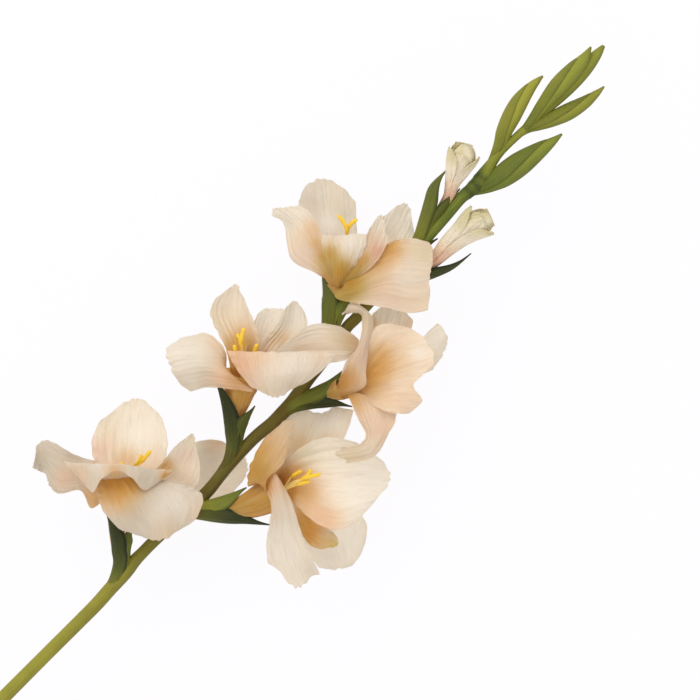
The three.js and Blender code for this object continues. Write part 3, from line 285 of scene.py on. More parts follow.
# Blooms, from the lowest up the stem. Their petals hold sections of x y z from side to side, foot to end.
BLOOMS = {
    "bloom_1": dict(
        throat=(62, 107, 46), axis=(0.1, 0.8, 0.6), ring=8,
        tube=[(60, 66, 36), (58, 80, 36), (59.5, 94, 39)],
        tepals=[
            dict(ruffle=0.5, phase=0.4, rows=[
                (50, 114, 48, 64, 117, 38, 79, 114, 48),
                (44.5, 130, 40, 65, 133, 22, 85, 130, 40),
                (45, 147, 20, 66, 151, -9, 83, 150, 18),
            ]),
            dict(ruffle=0.8, phase=1.0, waves=4, round=0.75, rows=[
                (50, 118, 44, 48, 110, 50, 46, 96, 47),
                (41, 121.5, 44, 40, 114, 53, 40.5, 105, 49),
                (32, 125.5, 44, 30, 116, 53, 29, 103.5, 48),
                (21, 129.5, 44, 20, 123, 50, 24, 110, 44),
                (16, 125, 38, 17, 116, 40, 23, 110, 36),
            ]),
            dict(ruffle=0.4, phase=1.6, claw=45, corner=0.6, rows=[
                (33, 119.5, 61, 40, 119, 65, 47, 118.7, 68.5, 54, 118.4, 71, 60.5, 118.3, 72, 67, 117.4,
                 70.5, 74, 116.6, 67.5, 80.5, 115.9, 63.5, 87, 115, 59),
                (34, 113, 60, 41, 107.5, 65, 47.5, 102.5, 70, 52.5, 111, 73, 60.5, 115, 74, 67, 111, 73, 73,
                 103.5, 70, 79.5, 107, 65, 87, 112, 58),
            ]),
            dict(ruffle=0.8, phase=0.3, round=0.6, rows=[
                (50, 110, 54, 60, 114, 60, 74, 111, 57),
                (49, 105, 60, 69, 104, 68, 92, 108, 60),
                (52, 93, 60, 76, 92, 70, 105, 101, 56),
                (58, 78, 56, 79, 80.5, 64, 103, 82, 55),
            ]),
            dict(ruffle=0.7, phase=2.0, waves=4, rows=[
                (80, 117, 50, 84, 111, 48, 86, 106, 52),
                (86.5, 127, 51, 91, 118, 50, 99.5, 107, 52),
                (90.5, 132.5, 50, 97.5, 133, 49, 102, 121, 48),
            ]),
            dict(ruffle=0.7, phase=0.9, waves=4, rows=[
                (84, 120, 38, 86, 110, 32, 86, 101, 34),
                (102, 131, 28, 104, 114, 18, 104, 97, 22),
                (117, 134, 12, 124, 116, -9, 125, 98, 8),
            ]),
        ],
    ),
    "bloom_2": dict(
        throat=(138, 104, 52), axis=(0.75, 0.25, 0.6), ring=9,
        tube=[(99, 96, 40), (113, 94.5, 43), (126, 98, 47)],
        tepals=[
            dict(ruffle=0.8, phase=0.5, corner=0.6, waves=4, rows=[
                (146, 123, 57, 147, 117.5, 55, 150, 111, 54, 150, 104, 57, 149, 97, 61),
                (163.5, 132.5, 60, 168, 122.5, 57, 172, 111, 57, 170, 98, 60, 166, 84.5, 63),
                (184.5, 131, 57, 194.5, 121, 53, 195.5, 111, 54, 192, 100, 54, 183, 86.5, 52),
            ]),
            dict(ruffle=1.0, phase=1.9, waves=4, corner=0.2, rows=[
                (140, 124, 50, 145, 122.5, 47.5, 150, 122, 46, 154, 121.5, 47.5, 158, 122, 50),
                (139, 136, 44, 147.5, 135, 41, 156, 134, 38, 164, 132.5, 41, 172, 131, 44),
                (142, 142, 40, 150, 145.5, 38, 160.5, 144, 36, 168.5, 148.5, 38, 178, 146, 37),
            ]),
            dict(ruffle=0.6, phase=0.2, rows=[
                (124, 107, 54, 127, 111, 62, 134, 111, 64),
                (126.5, 121, 54, 134, 124, 62, 143, 119, 64),
                (136, 140, 50, 147, 141, 56, 148, 130, 60),
            ]),
            dict(ruffle=0.5, phase=1.1, round=0.7, corner=0.35, rows=[
                (132, 106, 57, 137, 114, 62, 141, 109, 62),
                (136.5, 97, 66, 141, 98, 71, 147, 97, 67),
                (133.5, 80, 64, 143, 80, 69, 153, 79, 66),
                (132.5, 66, 55, 149.5, 56.5, 61, 163.5, 60, 59),
            ]),
            dict(ruffle=0.7, phase=2.7, rows=[
                (162, 96, 46, 152, 88, 40, 144, 84, 44),
                (184, 90, 30, 168, 78, 22, 154, 70, 28),
                (185, 67, 8, 173, 62.5, -9, 156, 60, 8),
            ]),
            dict(ruffle=0.4, phase=0.4, claw=25, rows=[
                (151, 96, 61, 152, 91, 56, 150, 86, 53),
                (161, 88, 62, 160, 84, 55, 155, 77, 52),
                (173, 84, 58, 169, 78, 60, 161, 72, 58),
            ]),
        ],
    ),
    "bloom_3": dict(
        throat=(122, 163, 47), axis=(0.1, 0.88, 0.46), ring=9,
        tube=[(117, 123, 42), (116.5, 138, 42), (119, 151, 44)],
        tepals=[
            dict(ruffle=0.3, phase=0.4, rows=[
                (112.5, 177, 47, 120, 180, 40, 130, 178, 46),
                (104.5, 194, 42, 115, 194, 33, 126, 193, 40),
                (107, 207, 36, 117.5, 208.5, 26, 122, 205, 34),
            ]),
            dict(ruffle=0.5, phase=2.4, waves=5, rows=[
                (124, 178, 42, 130, 180, 36, 136, 178, 40),
                (126, 189, 36, 134, 190, 28, 142, 188, 34),
                (127, 197, 28, 136.5, 196.5, 20, 148, 197, 28),
            ]),
            dict(ruffle=0.4, phase=0.8, rows=[
                (130, 177, 46, 138, 176, 44, 151, 175, 48),
                (138, 188, 42, 146, 187, 37, 154.5, 184, 43),
                (140, 201, 34, 147.5, 200, 30, 155, 198, 36),
            ]),
            dict(ruffle=0.6, phase=1.3, rows=[
                (148, 183, 50, 146, 176, 50, 148, 170, 50),
                (161, 189, 53, 164, 179, 55, 164, 168, 53),
                (179, 188, 50, 181, 177, 51, 179, 167, 50),
            ]),
            dict(ruffle=0.6, phase=0.3, claw=45, rows=[
                (114, 174, 54, 139, 174, 63, 163.5, 174.5, 58),
                (118.5, 164, 60, 140, 163, 72, 166, 168, 60),
                (123, 151, 60, 138, 151.5, 68, 153, 155.5, 58),
            ]),
            dict(ruffle=1.1, phase=2.2, waves=4, corner=0.35, rows=[
                (112, 174, 48, 111.5, 170.5, 51.5, 112, 167, 55, 118.5, 160.5, 57, 126.5, 154.5, 57),
                (104, 184, 47, 101.5, 178, 52, 100, 171, 55, 102.5, 163, 54, 107, 156.5, 51),
                (85, 181.5, 42, 83, 176.5, 48, 83.5, 169, 52, 86, 159, 48, 94, 151.5, 44),
            ]),
        ],
    ),
    "bloom_4": dict(
        throat=(170.5, 155.5, 49.5), axis=(0.85, 0.12, 0.5), ring=5,
        tube=[(149, 149.3, 42), (157, 151.2, 44), (164.5, 153.4, 47)],
        tepals=[
            dict(ruffle=0.6, phase=0.6, waves=5, corner=0.2, rows=[
                (180, 170, 57, 180.6, 165.5, 55, 181.3, 161, 53.5, 182, 157, 53, 182, 154.5, 54, 182.3, 152,
                 56, 183, 149, 59),
                (188, 186.5, 60, 194, 180, 58.5, 198, 173, 57.5, 199, 163, 56, 198.5, 157.5, 58.5, 198, 152,
                 62, 196, 143.5, 65),
                (198, 189.5, 53, 208, 186, 54.5, 215.5, 178.5, 56, 217, 169, 59, 207.5, 158, 60, 213, 149,
                 58.5, 204, 143, 56),
            ]),
            dict(ruffle=0.7, phase=1.9, waves=4, rows=[
                (173, 167.5, 56, 181, 169, 53, 191, 168, 47),
                (184.5, 182, 50, 192, 184, 42, 204, 180, 38),
                (178.5, 195, 34, 196, 198.5, 32, 214, 195, 33),
            ]),
            dict(ruffle=0.2, phase=0.2, corner=0.6, round=0.8, rows=[
                (168.5, 156.5, 53, 175, 155.5, 57.5, 182, 156.5, 58.5),
                (173, 168.5, 54, 178.5, 167.5, 59.5, 183, 165, 60),
                (179, 177.5, 57, 182, 177, 62, 184.5, 178, 60),
                (181, 191, 56, 183.5, 192, 60, 186, 191, 56),
                (177, 193.5, 56, 176, 196, 58, 176, 198.5, 54),
                (172, 192, 52, 171, 193, 54, 170.5, 189, 52),
            ]),
            dict(ruffle=0.3, phase=1.1, round=0.8, corner=0.35, rows=[
                (172.5, 154.5, 53, 182, 152.5, 57, 195.5, 149, 54),
                (179.5, 140, 60, 187, 139, 65, 197.5, 140, 61),
                (183, 132.5, 66, 188, 131.5, 70, 194, 133.5, 67),
                (179, 128, 69, 182.5, 125, 71, 187, 122.5, 69.5),
                (168, 127, 68.5, 167.5, 123, 70, 170, 117.5, 68.5),
            ]),
            dict(ruffle=0.3, phase=2.7, corner=0.1, rows=[
                (188, 165, 42, 190, 158, 40, 190, 152, 42),
                (205, 176, 26, 206, 168, 20, 206, 160, 26),
                (221.5, 190.5, 10, 226, 178, -8, 217.5, 165, 8),
            ]),
            dict(ruffle=0.6, phase=0.4, rows=[
                (184, 162, 40, 186, 154, 36, 184, 146, 40),
                (194, 164, 26, 198, 154, 20, 194, 146, 26),
                (202, 164, 12, 208, 154, 3, 202, 146, 12),
            ]),
        ],
    ),
    "bloom_5": dict(
        throat=(168.6, 207.5, 48), axis=(0.1, 0.9, 0.42), ring=4.6,
        tube=[(165.2, 182, 43), (165.6, 190, 44), (167, 198, 45.8)],
        tepals=[
            dict(ruffle=0.5, phase=0.6, waves=4, corner=0.3, round=0.6, rows=[
                (157, 222, 43, 162, 223.5, 40, 167, 224, 38, 172, 223.5, 40, 177, 222, 43),
                (150.5, 240, 32, 157, 241, 27, 164, 240, 24, 171, 239.5, 27, 178.5, 238, 32),
                (147.5, 252.5, 11, 152, 260.5, 3, 161.5, 263, -9, 172, 260, 2, 179, 252, 10),
            ]),
            dict(ruffle=0.4, phase=1.9, corner=0.6, round=0.75, rows=[
                (157.5, 213.5, 52, 162, 215, 54.5, 167, 210, 56),
                (145.5, 220.5, 50, 153, 228, 54, 163, 227, 57),
                (142, 238, 46, 147, 240, 50, 157, 241, 53),
                (132, 243, 44, 138, 246.5, 46, 150, 249, 46),
            ]),
            dict(ruffle=0.4, phase=0.2, rows=[
                (165, 212.5, 56, 169.5, 213, 59, 175, 213.5, 58),
                (160.5, 227, 60, 171, 224.5, 65, 184, 227, 62),
                (158, 239, 58, 170, 232, 63, 189.5, 241, 58),
            ]),
            dict(ruffle=0.4, phase=1.1, rows=[
                (171.5, 213, 56, 176, 212.5, 59, 180, 211.5, 60),
                (179.5, 226, 60, 184.5, 225, 62.5, 190, 220.5, 63.5),
                (186, 241.5, 57, 191, 242.5, 56, 200.5, 235, 58),
            ]),
            dict(ruffle=0.6, phase=2.7, round=0.65, corner=0.55, rows=[
                (173.5, 209, 56, 173, 204, 59.5, 169.5, 200, 56),
                (191.5, 226, 58, 195, 213, 66, 191, 196.5, 60),
                (204, 231, 56, 206, 213, 64, 204, 192.5, 58),
                (221, 231, 54, 216, 213, 60, 217.5, 192.5, 54),
            ]),
            dict(ruffle=0.4, phase=0.4, corner=0.7, rows=[
                (178, 220, 44, 182, 218, 42, 186, 215, 44),
                (187, 234, 42, 194, 230, 38, 202, 223.5, 41),
                (191, 248, 37, 203.5, 249, 32, 214.5, 234, 35),
            ]),
        ],
    ),
}

# Stamens and style: threads rising from a short column in the funnel, each with a thicker end
STAMENS = {
    "bloom_1": [
        [(62.5, 110, 49), (66, 116, 53), (70, 119.5, 57), (71.3, 123, 58)],
        [(63, 109, 49), (67, 115, 54), (71, 119, 58), (76, 125, 60)],
        [(61.5, 109, 50), (61.5, 114, 54), (61.8, 119, 57)],
    ],
    "bloom_2": [
        [(141, 105.5, 54), (147, 109.5, 60), (153, 112, 64), (156, 116, 66)],
        [(141, 105, 55), (148, 109, 61), (154.5, 112, 65), (160.5, 113.5, 66)],
        [(141, 104.5, 54), (147, 107.5, 60), (155, 110, 64)],
        [(141.5, 106, 53), (146, 112, 58), (151, 115, 61)],
    ],
    "bloom_3": [
        [(121, 167, 48), (120.7, 174, 52), (120.3, 180, 55), (118.8, 183, 56)],
        [(121.6, 167, 49), (121.2, 174, 53), (121, 181, 56), (122.4, 186, 57)],
        [(120.4, 166, 49), (118.5, 172, 53), (117.4, 177.5, 55)],
        [(123, 166.5, 49), (126.5, 172, 53), (128.8, 178, 55)],
    ],
    "bloom_4": [
        [(172.5, 156.2, 50.5), (174.5, 156.8, 51.2), (176.5, 157.6, 52)],
        [(172.5, 155.8, 50.5), (175, 156, 51.6), (177.4, 156.4, 52.6)],
        [(172.5, 155.4, 50.5), (174.5, 155, 51.2), (176.5, 154.6, 52)],
    ],
    "bloom_5": [
        [(171, 215, 51), (172.2, 225, 55), (173.3, 235, 60), (169.3, 242, 63)],
        [(171.5, 215, 50), (172.8, 225, 54), (174, 235.5, 59), (178.5, 240, 62)],
        [(170, 215, 50), (168.5, 222, 53), (167, 228, 55)],
    ],
}

# Opening buds: furled tepals rolled round one path, one over the next
OPENING_BUDS = {
    "opening_bud_a": dict(
        path=[(220.5, 246, 47), (224.3, 252, 48.5), (226.3, 258.5, 50), (229, 265.5, 51.5),
              (231, 271.5, 53), (232.3, 277, 54.5)],
        core=(1.6, 2.0, 3.2, 5.0, 6.0, 2.6),
        furls=[
            dict(facing=262, spread=100, reach=1.0, radius=(1.9, 2.6, 3.7, 5.6, 6.8, 6.4)),
            dict(facing=165, spread=70, reach=0.93, radius=(1.9, 2.6, 3.9, 6.6, 7.8, 7.4)),
            dict(facing=5, spread=66, reach=0.87, radius=(1.9, 2.6, 3.7, 6.2, 8.4, 9.2)),
            dict(facing=112, spread=84, reach=0.88, radius=(1.6, 2.4, 3.4, 5.0, 6.2, 5.6)),
        ],
    ),
    "opening_bud_b": dict(
        path=[(211.5, 214.5, 46), (218.3, 221, 49), (224, 227, 51), (230.5, 232.5, 53),
              (237.5, 237.5, 54.5), (245, 241, 55.5)],
        core=(1.8, 2.6, 3.8, 5.2, 6.2, 2.8),
        furls=[
            dict(facing=268, spread=100, reach=1.0, radius=(2.4, 3.6, 4.8, 5.8, 6.6, 6.8)),
            dict(facing=170, spread=78, reach=0.86, radius=(2.4, 3.6, 5.0, 6.4, 9.0, 9.8)),
            dict(facing=5, spread=78, reach=0.96, radius=(2.4, 3.6, 4.9, 6.0, 7.8, 8.6)),
            dict(facing=96, spread=88, reach=0.92, radius=(2.0, 3.2, 4.4, 5.4, 6.8, 6.6)),
        ],
    ),
}

# Soft colour marks on the petals of each bloom, petal by petal: x, y, size, layer and amount.
# The tan-grey marks are painted shade on petals that lie in shade, and the white marks are partly the
# petal's own white and partly painted light on petals shaded by those above them.
MARKS = {
    "bloom_1": [
        [(49, 125, 5, "pink", 0.6), (54, 129, 6, "peach", 0.35), (78, 122, 5, "peach", 0.35),
         (52, 138, 7, "lime", 0.06), (63, 120, 6, "gold", 0.3), (68, 132, 7, "white_and_painted_light", 0.5)],
        [(32, 115, 60, "painted_shade", 0.62), (34, 112, 6, "peach", 0.5), (32, 110, 5, "pink", 0.3),
         (47, 101, 7, "peach", 1.0), (48, 101, 6, "gold", 0.3), (20, 121, 5, "painted_shade", 0.5),
         (37, 121, 6, "painted_shade", 0.35)],
        [(60, 110, 60, "painted_shade", 0.52), (43, 114, 8, "painted_shade", 0.5), (40, 112, 6, "peach", 0.7),
         (39, 108, 4, "pink", 0.3), (73, 110, 6, "painted_shade", 0.35), (84, 112, 3, "gold", 0.8),
         (58, 114.5, 5, "gold", 0.35), (50, 117, 6, "white_and_painted_light", 0.4)],
        [(80, 88, 60, "painted_shade", 0.6), (83, 85, 8, "peach", 0.3), (56, 108, 7, "gold", 0.85),
         (66, 110, 7, "gold", 0.8), (54, 102, 7, "peach", 0.8), (62, 100, 7, "gold", 0.25),
         (73, 99, 10, "painted_shade", 0.35), (101, 95, 6, "peach", 0.4), (85, 83, 6, "lime", 0.07),
         (88, 101, 9, "white_and_painted_light", 0.5), (78, 90, 7, "white_and_painted_light", 0.2)],
        [(83, 117, 4, "gold", 0.6), (93, 123, 5, "pink", 0.35), (92, 113, 8, "peach", 0.4),
         (97, 130, 5, "lime", 0.07)],
        [(108, 129, 6, "peach", 0.6), (105, 124, 9, "painted_shade", 0.5), (120, 112, 9, "white_and_painted_light", 0.4),
         (104, 112, 6, "painted_shade", 0.3)],
    ],
    "bloom_2": [
        [(148, 112, 5, "gold", 0.5), (149, 112, 6, "peach", 0.8), (156, 94, 8, "peach", 1.0),
         (166, 90, 7, "peach", 0.8), (162, 90, 5, "pink", 0.35), (158, 107, 8, "peach", 0.5),
         (151, 124, 8, "lime", 0.12), (184, 118, 12, "white_and_painted_light", 0.7), (183, 103, 11, "white_and_painted_light", 0.6),
         (152, 104, 6, "gold", 0.4)],
        # petal 2: the gold marks along y 128 are painted shade under the petal end lying over it, and the
        # large white mark is painted light
        [(154, 137, 7, "lime", 0.08), (146, 133, 6, "peach", 0.2), (162, 139, 14, "white_and_painted_light", 0.9),
         (164, 128, 5, "gold", 0.4), (150, 128, 6, "gold", 0.3)],
        [(130, 122, 30, "gold", 0.3), (128, 114, 7, "gold", 0.6), (128, 118, 8, "lime", 0.35),
         (129, 126, 6, "gold", 0.4), (135, 130, 8, "peach", 0.5), (142, 124, 4, "peach", 0.5),
         (133, 111, 4, "peach", 0.8)],
        [(138, 110, 5, "peach", 0.8), (139, 92, 8, "painted_shade", 0.35), (157, 66, 6, "painted_shade", 0.4),
         (143, 74, 8, "white_and_painted_light", 0.6), (135, 84, 6, "white_and_painted_light", 0.4)],
        [(177, 79, 10, "white_and_painted_light", 0.5), (165, 71, 7, "painted_shade", 0.3), (160, 88, 7, "peach", 0.4)],
        # petal 6: the gold and peach marks about (155, 86) are painted shade in the hollow under its claw
        [(156, 86, 14, "gold", 0.5), (154, 85, 7, "gold", 0.5), (154, 86, 8, "peach", 0.8),
         (152, 95, 6, "peach", 0.8), (152, 95, 5, "gold", 0.3), (166, 78, 4.5, "lime", 0.5),
         (163, 84, 4, "white_and_painted_light", 0.5)],
    ],
    "bloom_3": [
        [(116, 192, 20, "peach", 0.3), (121, 184, 5, "peach", 0.6), (111, 190, 8, "lime", 0.07),
         (120, 176, 7, "gold", 0.9), (120, 177, 5, "lime", 0.4), (112, 200, 8, "white_and_painted_light", 0.4)],
        [(130, 184, 6, "peach", 0.2), (131, 186, 5, "pink", 0.1), (132, 191, 8, "white_and_painted_light", 0.7)],
        [(142.5, 180, 5, "peach", 0.6), (142, 180, 5, "gold", 0.15), (136, 179, 5, "peach", 0.4),
         (146, 191, 9, "white_and_painted_light", 0.8), (144, 185, 4, "peach", 0.15)],
        [(164, 180, 9, "peach", 0.4), (176, 179, 6, "gold", 0.3), (152, 174, 7, "peach", 0.4),
         (158, 187, 6, "white_and_painted_light", 0.4), (170, 184, 8, "lime", 0.05)],
        [(140, 160, 60, "painted_shade", 0.18), (138, 164, 30, "peach", 0.15), (120, 169, 6, "pink", 0.4),
         (120, 169, 8, "peach", 0.5), (132, 172, 6, "peach", 0.35), (125, 161, 7, "pink", 0.35),
         (145, 158, 8, "painted_shade", 0.35), (148, 168, 10, "white_and_painted_light", 0.5), (133, 153, 5, "lime", 0.1),
         (150, 157, 5, "lime", 0.06), (160, 172, 5, "peach", 0.25)],
        [(98, 165, 60, "painted_shade", 0.22), (90, 172, 10, "white_and_painted_light", 0.4), (105, 162, 7, "painted_shade", 0.45),
         (108, 181, 6, "peach", 0.5), (124, 159, 7, "pink", 0.55), (116, 167, 6, "peach", 0.6),
         (119, 158, 7, "peach", 0.5), (88, 156, 6, "painted_shade", 0.35), (112, 160, 6, "pink", 0.25)],
    ],
    "bloom_4": [
        [(195, 165, 26, "peach", 0.7), (190, 160, 20, "gold", 0.08), (187, 165, 8, "gold", 0.5),
         (182, 159, 7, "gold", 0.5), (191, 172, 6, "gold", 0.3), (174, 157, 6, "gold", 0.5),
         (194, 163, 5, "gold", 0.15), (209.5, 173.5, 5, "white_and_painted_light", 0.8), (199, 158, 6, "white_and_painted_light", 0.5),
         (203, 149, 6, "pink", 0.25), (210, 163, 5, "white_and_painted_light", 0.4)],
        [(196, 188, 20, "peach", 0.25), (199, 191, 12, "white_and_painted_light", 0.9), (186, 188, 3, "gold", 0.5),
         (206, 186, 6, "gold", 0.25)],
        [(181, 176, 24, "peach", 0.45), (182, 190, 5, "lime", 0.1), (182.5, 172, 6, "pink", 0.35),
         (174, 160, 6, "gold", 0.5), (176, 190, 4, "gold", 0.25)],
        [(186, 138, 24, "peach", 0.55), (190, 137, 8, "pink", 0.35), (180, 147, 6, "peach", 0.4),
         (176, 151, 5, "gold", 0.5), (176, 122, 6, "lime", 0.12), (183, 127, 6, "white_and_painted_light", 0.3)],
        [(216.5, 179.5, 6, "lime", 0.07), (219, 178, 9, "white_and_painted_light", 0.9), (214, 172, 5, "peach", 0.5)],
        [(200, 155, 18, "peach", 0.8), (186, 156, 8, "gold", 0.6)],
    ],
    "bloom_5": [
        [(163, 240, 60, "painted_shade", 0.5), (154, 240, 7, "pink", 0.2), (162, 238, 8, "white_and_painted_light", 0.6),
         (167, 249, 8, "lime", 0.05), (156, 250, 6, "painted_shade", 0.3), (172, 244, 5, "painted_shade", 0.25),
         (160, 255, 6, "white_and_painted_light", 0.4)],
        [(157, 235, 6, "peach", 0.9), (155, 220, 7, "pink", 0.45), (162, 222, 4, "gold", 0.6),
         (163, 218, 5, "lime", 0.4), (166, 213, 5, "gold", 0.7), (150, 228, 7, "peach", 0.45),
         (147, 220, 5, "painted_shade", 0.25), (158, 228, 3, "gold", 0.4), (168, 207, 4, "lime", 0.5)],
        [(165, 223, 4, "gold", 0.5), (165, 222, 5, "lime", 0.5), (170, 214, 6, "gold", 0.8),
         (170, 213, 6, "lime", 0.7), (174, 231, 7, "white_and_painted_light", 0.5), (167, 230, 4, "peach", 0.4),
         (181, 236, 6, "painted_shade", 0.25)],
        [(188.5, 224, 5, "pink", 1.0), (181, 220, 5, "gold", 0.6), (174, 213, 6, "lime", 0.8),
         (175, 214, 6, "gold", 0.6), (185, 231, 6, "peach", 0.6), (192, 238, 5, "white_and_painted_light", 0.4)],
        [(200, 212, 50, "peach", 0.3), (193.5, 226, 7, "gold", 0.7), (192, 225, 9, "peach", 0.7),
         (186, 220, 6, "gold", 0.6), (188, 219, 8, "peach", 0.6), (175, 208, 7, "lime", 1.0),
         (176, 209, 7, "gold", 0.7), (170, 203, 5, "lime", 0.9), (188, 210, 9, "peach", 0.4),
         (194, 201, 7, "pink", 0.25), (212, 224, 6, "lime", 0.12), (202, 212, 8, "white_and_painted_light", 0.4),
         (207, 198, 7, "peach", 0.3)],
        [(196, 232, 5, "peach", 0.3), (202, 240, 12, "white_and_painted_light", 0.9), (204, 242, 8, "lime", 0.07),
         (207, 238, 6, "white_and_painted_light", 0.3)],
    ],
}

# The green pieces' colour along x: shares of dark, of fresh green and of brown
GREEN_RUN = {
    "x": (-100, 20, 60, 90, 110, 170, 190, 205, 230, 238, 245, 268),
    "dark": (0.1, 0.1, 0.2, 0.46, 0.6, 0.44, 0.26, 0.13, 0.18, 0.34, 0.06, 0),
    "fresh": (0, 0, 0, 0, 0, 0, 0.3, 0.75, 1, 1, 0.5, 0.2),
    "brown": (0.05, 0.05, 0.15, 0.3, 0.4, 0.5, 0.2, 0, 0, 0, 0, 0),
}


def linear(colour):
    """A colour as the eye sees it, 0 to 255, as the linear shares a material takes."""
    c = np.array(colour) / 255
    shares = np.where(c <= 0.04045, c / 12.92, ((c + 0.055) / 1.055) ** 2.4)
    return (*shares.tolist(), 1.0)


def ease(x):
    """0 below 0, 1 above 1 and 3x^2 - 2x^3 between."""
    x = np.clip(x, 0, 1)
    return x * x * (3 - 2 * x)


def unit(vectors):
    """Vectors scaled to length 1."""
    return vectors / np.maximum(np.linalg.norm(vectors, axis=-1, keepdims=True), 1e-12)


def weights(f):
    """The four Catmull-Rom weights at a share f of a span."""
    return np.stack([
        -f + 2 * f**2 - f**3,
        2 - 5 * f**2 + 3 * f**3,
        f + 4 * f**2 - 3 * f**3,
        f**3 - f**2,
    ]) / 2


def lengthened(rows):
    """Rows with one more at each end, in line with the last two."""
    return np.concatenate([[2 * rows[0] - rows[1]], rows, [2 * rows[-1] - rows[-2]]])


def line(points):
    """A Catmull-Rom line through points (x y z and more), as a function of its share s of length."""
    rows = lengthened(np.array(points, float))
    x = np.linspace(0, len(points) - 1, 40 * len(points))
    i = np.clip(np.floor(x).astype(int), 0, len(points) - 2)
    w = weights(x - i)
    fine = sum(w[k][:, None] * rows[i + k] for k in range(4))
    run = np.concatenate([[0], np.cumsum(np.linalg.norm(np.diff(fine[:, :3], axis=0), axis=1))])
    return lambda s: np.stack([np.interp(np.clip(s, 0, 1) * run[-1], run, column) for column in fine.T], -1)


def stations(read, s):
    """Place, side and top directions of a line at s: side = ahead x Z, top = side x ahead."""
    ahead = unit((read(s + 0.01) - read(s - 0.01))[..., :3])
    side = unit(np.cross(ahead, [0.0, 0.0, 1.0]))
    return read(s)[..., :3], side, np.cross(side, ahead)


def sheet(control, along, across):
    """A Catmull-Rom sheet through control[row, column], read at along 0..1 and across -1..1."""
    rows, columns = control.shape[:2]
    padded = np.swapaxes(lengthened(np.swapaxes(lengthened(control), 0, 1)), 0, 1)
    x = along * (rows - 1)
    y = (across + 1) / 2 * (columns - 1)
    i = np.clip(np.floor(x).astype(int), 0, rows - 2)
    j = np.clip(np.floor(y).astype(int), 0, columns - 2)
    wx = weights(x - i)[..., None]
    wy = weights(y - j)[..., None]
    return sum(wx[k] * wy[m] * padded[i + k, j + m] for k in range(4) for m in range(4))


def sections(bloom, petal):
    """The sections of a petal with two more at its foot, on the funnel's circles.

    Their radii are 0.8 ring, 9 mm down the funnel, and ring, at its rim.
    """
    rows = np.array([np.reshape(row, (-1, 3)) for row in petal["rows"]], float)
    throat = np.array(bloom["throat"], float)
    axis = unit(np.array(bloom["axis"], float))
    count = rows.shape[1]
    out = rows[0, (count - 1) // 2] - throat
    out = unit(out - axis * (out @ axis))
    across = np.cross(axis, out)
    across = across if (rows[0, -1] - rows[0, 0]) @ across > 0 else -across
    claw = np.radians(petal.get("claw", CLAW))
    a = np.linspace(-claw, claw, count)[:, None]
    ring = out * np.cos(a) + across * np.sin(a)
    foot = throat - FOOT_DEPTH * axis + FOOT_SHARE * bloom["ring"] * ring
    feet = [foot, throat + bloom["ring"] * ring]
    return np.concatenate([feet, rows])


def rested(points):
    """Points let down softly on the table: z = TABLE + PRESS ln(1 + exp((z - TABLE) / PRESS))."""
    points[..., 2] = TABLE + PRESS * np.logaddexp(0, (points[..., 2] - TABLE) / PRESS)
    return points


def petal_grid(bloom, petal, nu, nv):
    """The middle surface of a petal, u from foot to end and v from side to side.

    t = (u - round) / (1 - round) rounds the end: along = round + (1 - round) t sqrt(1 - corner v^2 / 2) and
    across = v sqrt(1 - corner t^2 / 2). Turn is the direction round the end.
    The edge is 1 - (1 - |v|^3)(1 - t^4). It waves by ruffle times sin(waves turn + phase) and 0.4 of
    sin((2 waves + 1) turn + ...). Crimps of sin 19 turn and sin 31 turn lie on its rim, pleats of
    cos 5.3 pi v and cos 11 pi v run down the petal, and a groove is its midrib.
    """
    phase = petal["phase"]
    waves = petal.get("waves", 3)
    corner = petal.get("corner", 0.8)
    start = petal.get("round", 0.55)
    u, v = np.meshgrid(np.linspace(0, 1, nu), np.linspace(-1, 1, nv), indexing="ij")
    t = np.clip((u - start) / (1 - start), 0, 1)
    edge = 1 - (1 - np.abs(v) ** 3) * (1 - t**4)
    turn = np.arctan2(v, np.where(u < start, (u - start) / start * 1.5, t + 1e-9))
    along = np.where(u < start, u, start + (1 - start) * t * np.sqrt(1 - corner * v * v / 2))
    across = v * np.sqrt(1 - corner * t * t / 2) * (1 + EDGE_WANDER * np.sin(5 * turn + 2 * phase) * edge)
    along = np.clip(along + EDGE_WANDER * edge * t * (np.sin(5 * turn + 1 + phase) - 1), 0, 1)
    rim = ease((edge - 0.55) / 0.45)
    along = along - EDGE_NICKS * rim * t * (1 + np.sin(23 * turn + 7 * phase + 2 * np.sin(6 * turn)))
    control = sections(bloom, petal)
    p = sheet(control, along, across)
    du = sheet(control, along + 0.02, across) - sheet(control, along - 0.02, across)
    dv = sheet(control, along, across + 0.02) - sheet(control, along, across - 0.02)
    lift = petal["ruffle"] * edge * (
        np.sin(waves * turn + phase) + 0.4 * np.sin((2 * waves + 1) * turn + 1.3 * phase + 1)
    )
    crimp = CRIMP * rim * (
        np.sin(19 * turn + 3 * phase + 2.1 * np.sin(5 * turn)) + 0.6 * np.sin(31 * turn + 5 * phase + 3 * u)
    )
    bend = 2 * np.sin(2.3 * v + phase) + 1.5 * np.sin(3 * u + 2 * phase)
    pleat = np.cos(5.3 * np.pi * v + bend) + 0.5 * np.cos(11 * np.pi * v - 2 * bend)
    pleat = PLEAT * pleat * (1 - 0.6 * rim) * (0.6 + 0.4 * np.sin(5 * u + 4 * v + phase))
    rib = -MIDRIB * np.exp(-((v / 0.06) ** 2)) * (1 - t)
    lift = (lift + crimp + pleat + rib) * ease((u - 0.2) * 2)
    p = p + unit(np.cross(du, dv)) * lift[..., None]
    return rested(p), u, v, edge


def ringed(read, s, radius, angle, flat):
    """Points round a line at s: place + side radius cos(angle) + top flat radius sin(angle)."""
    place, side, top = stations(read, s)
    sideways = side[:, None] * (radius * np.cos(angle))[..., None]
    upwards = top[:, None] * (flat * radius * np.sin(angle))[..., None]
    return place[:, None] + sideways + upwards


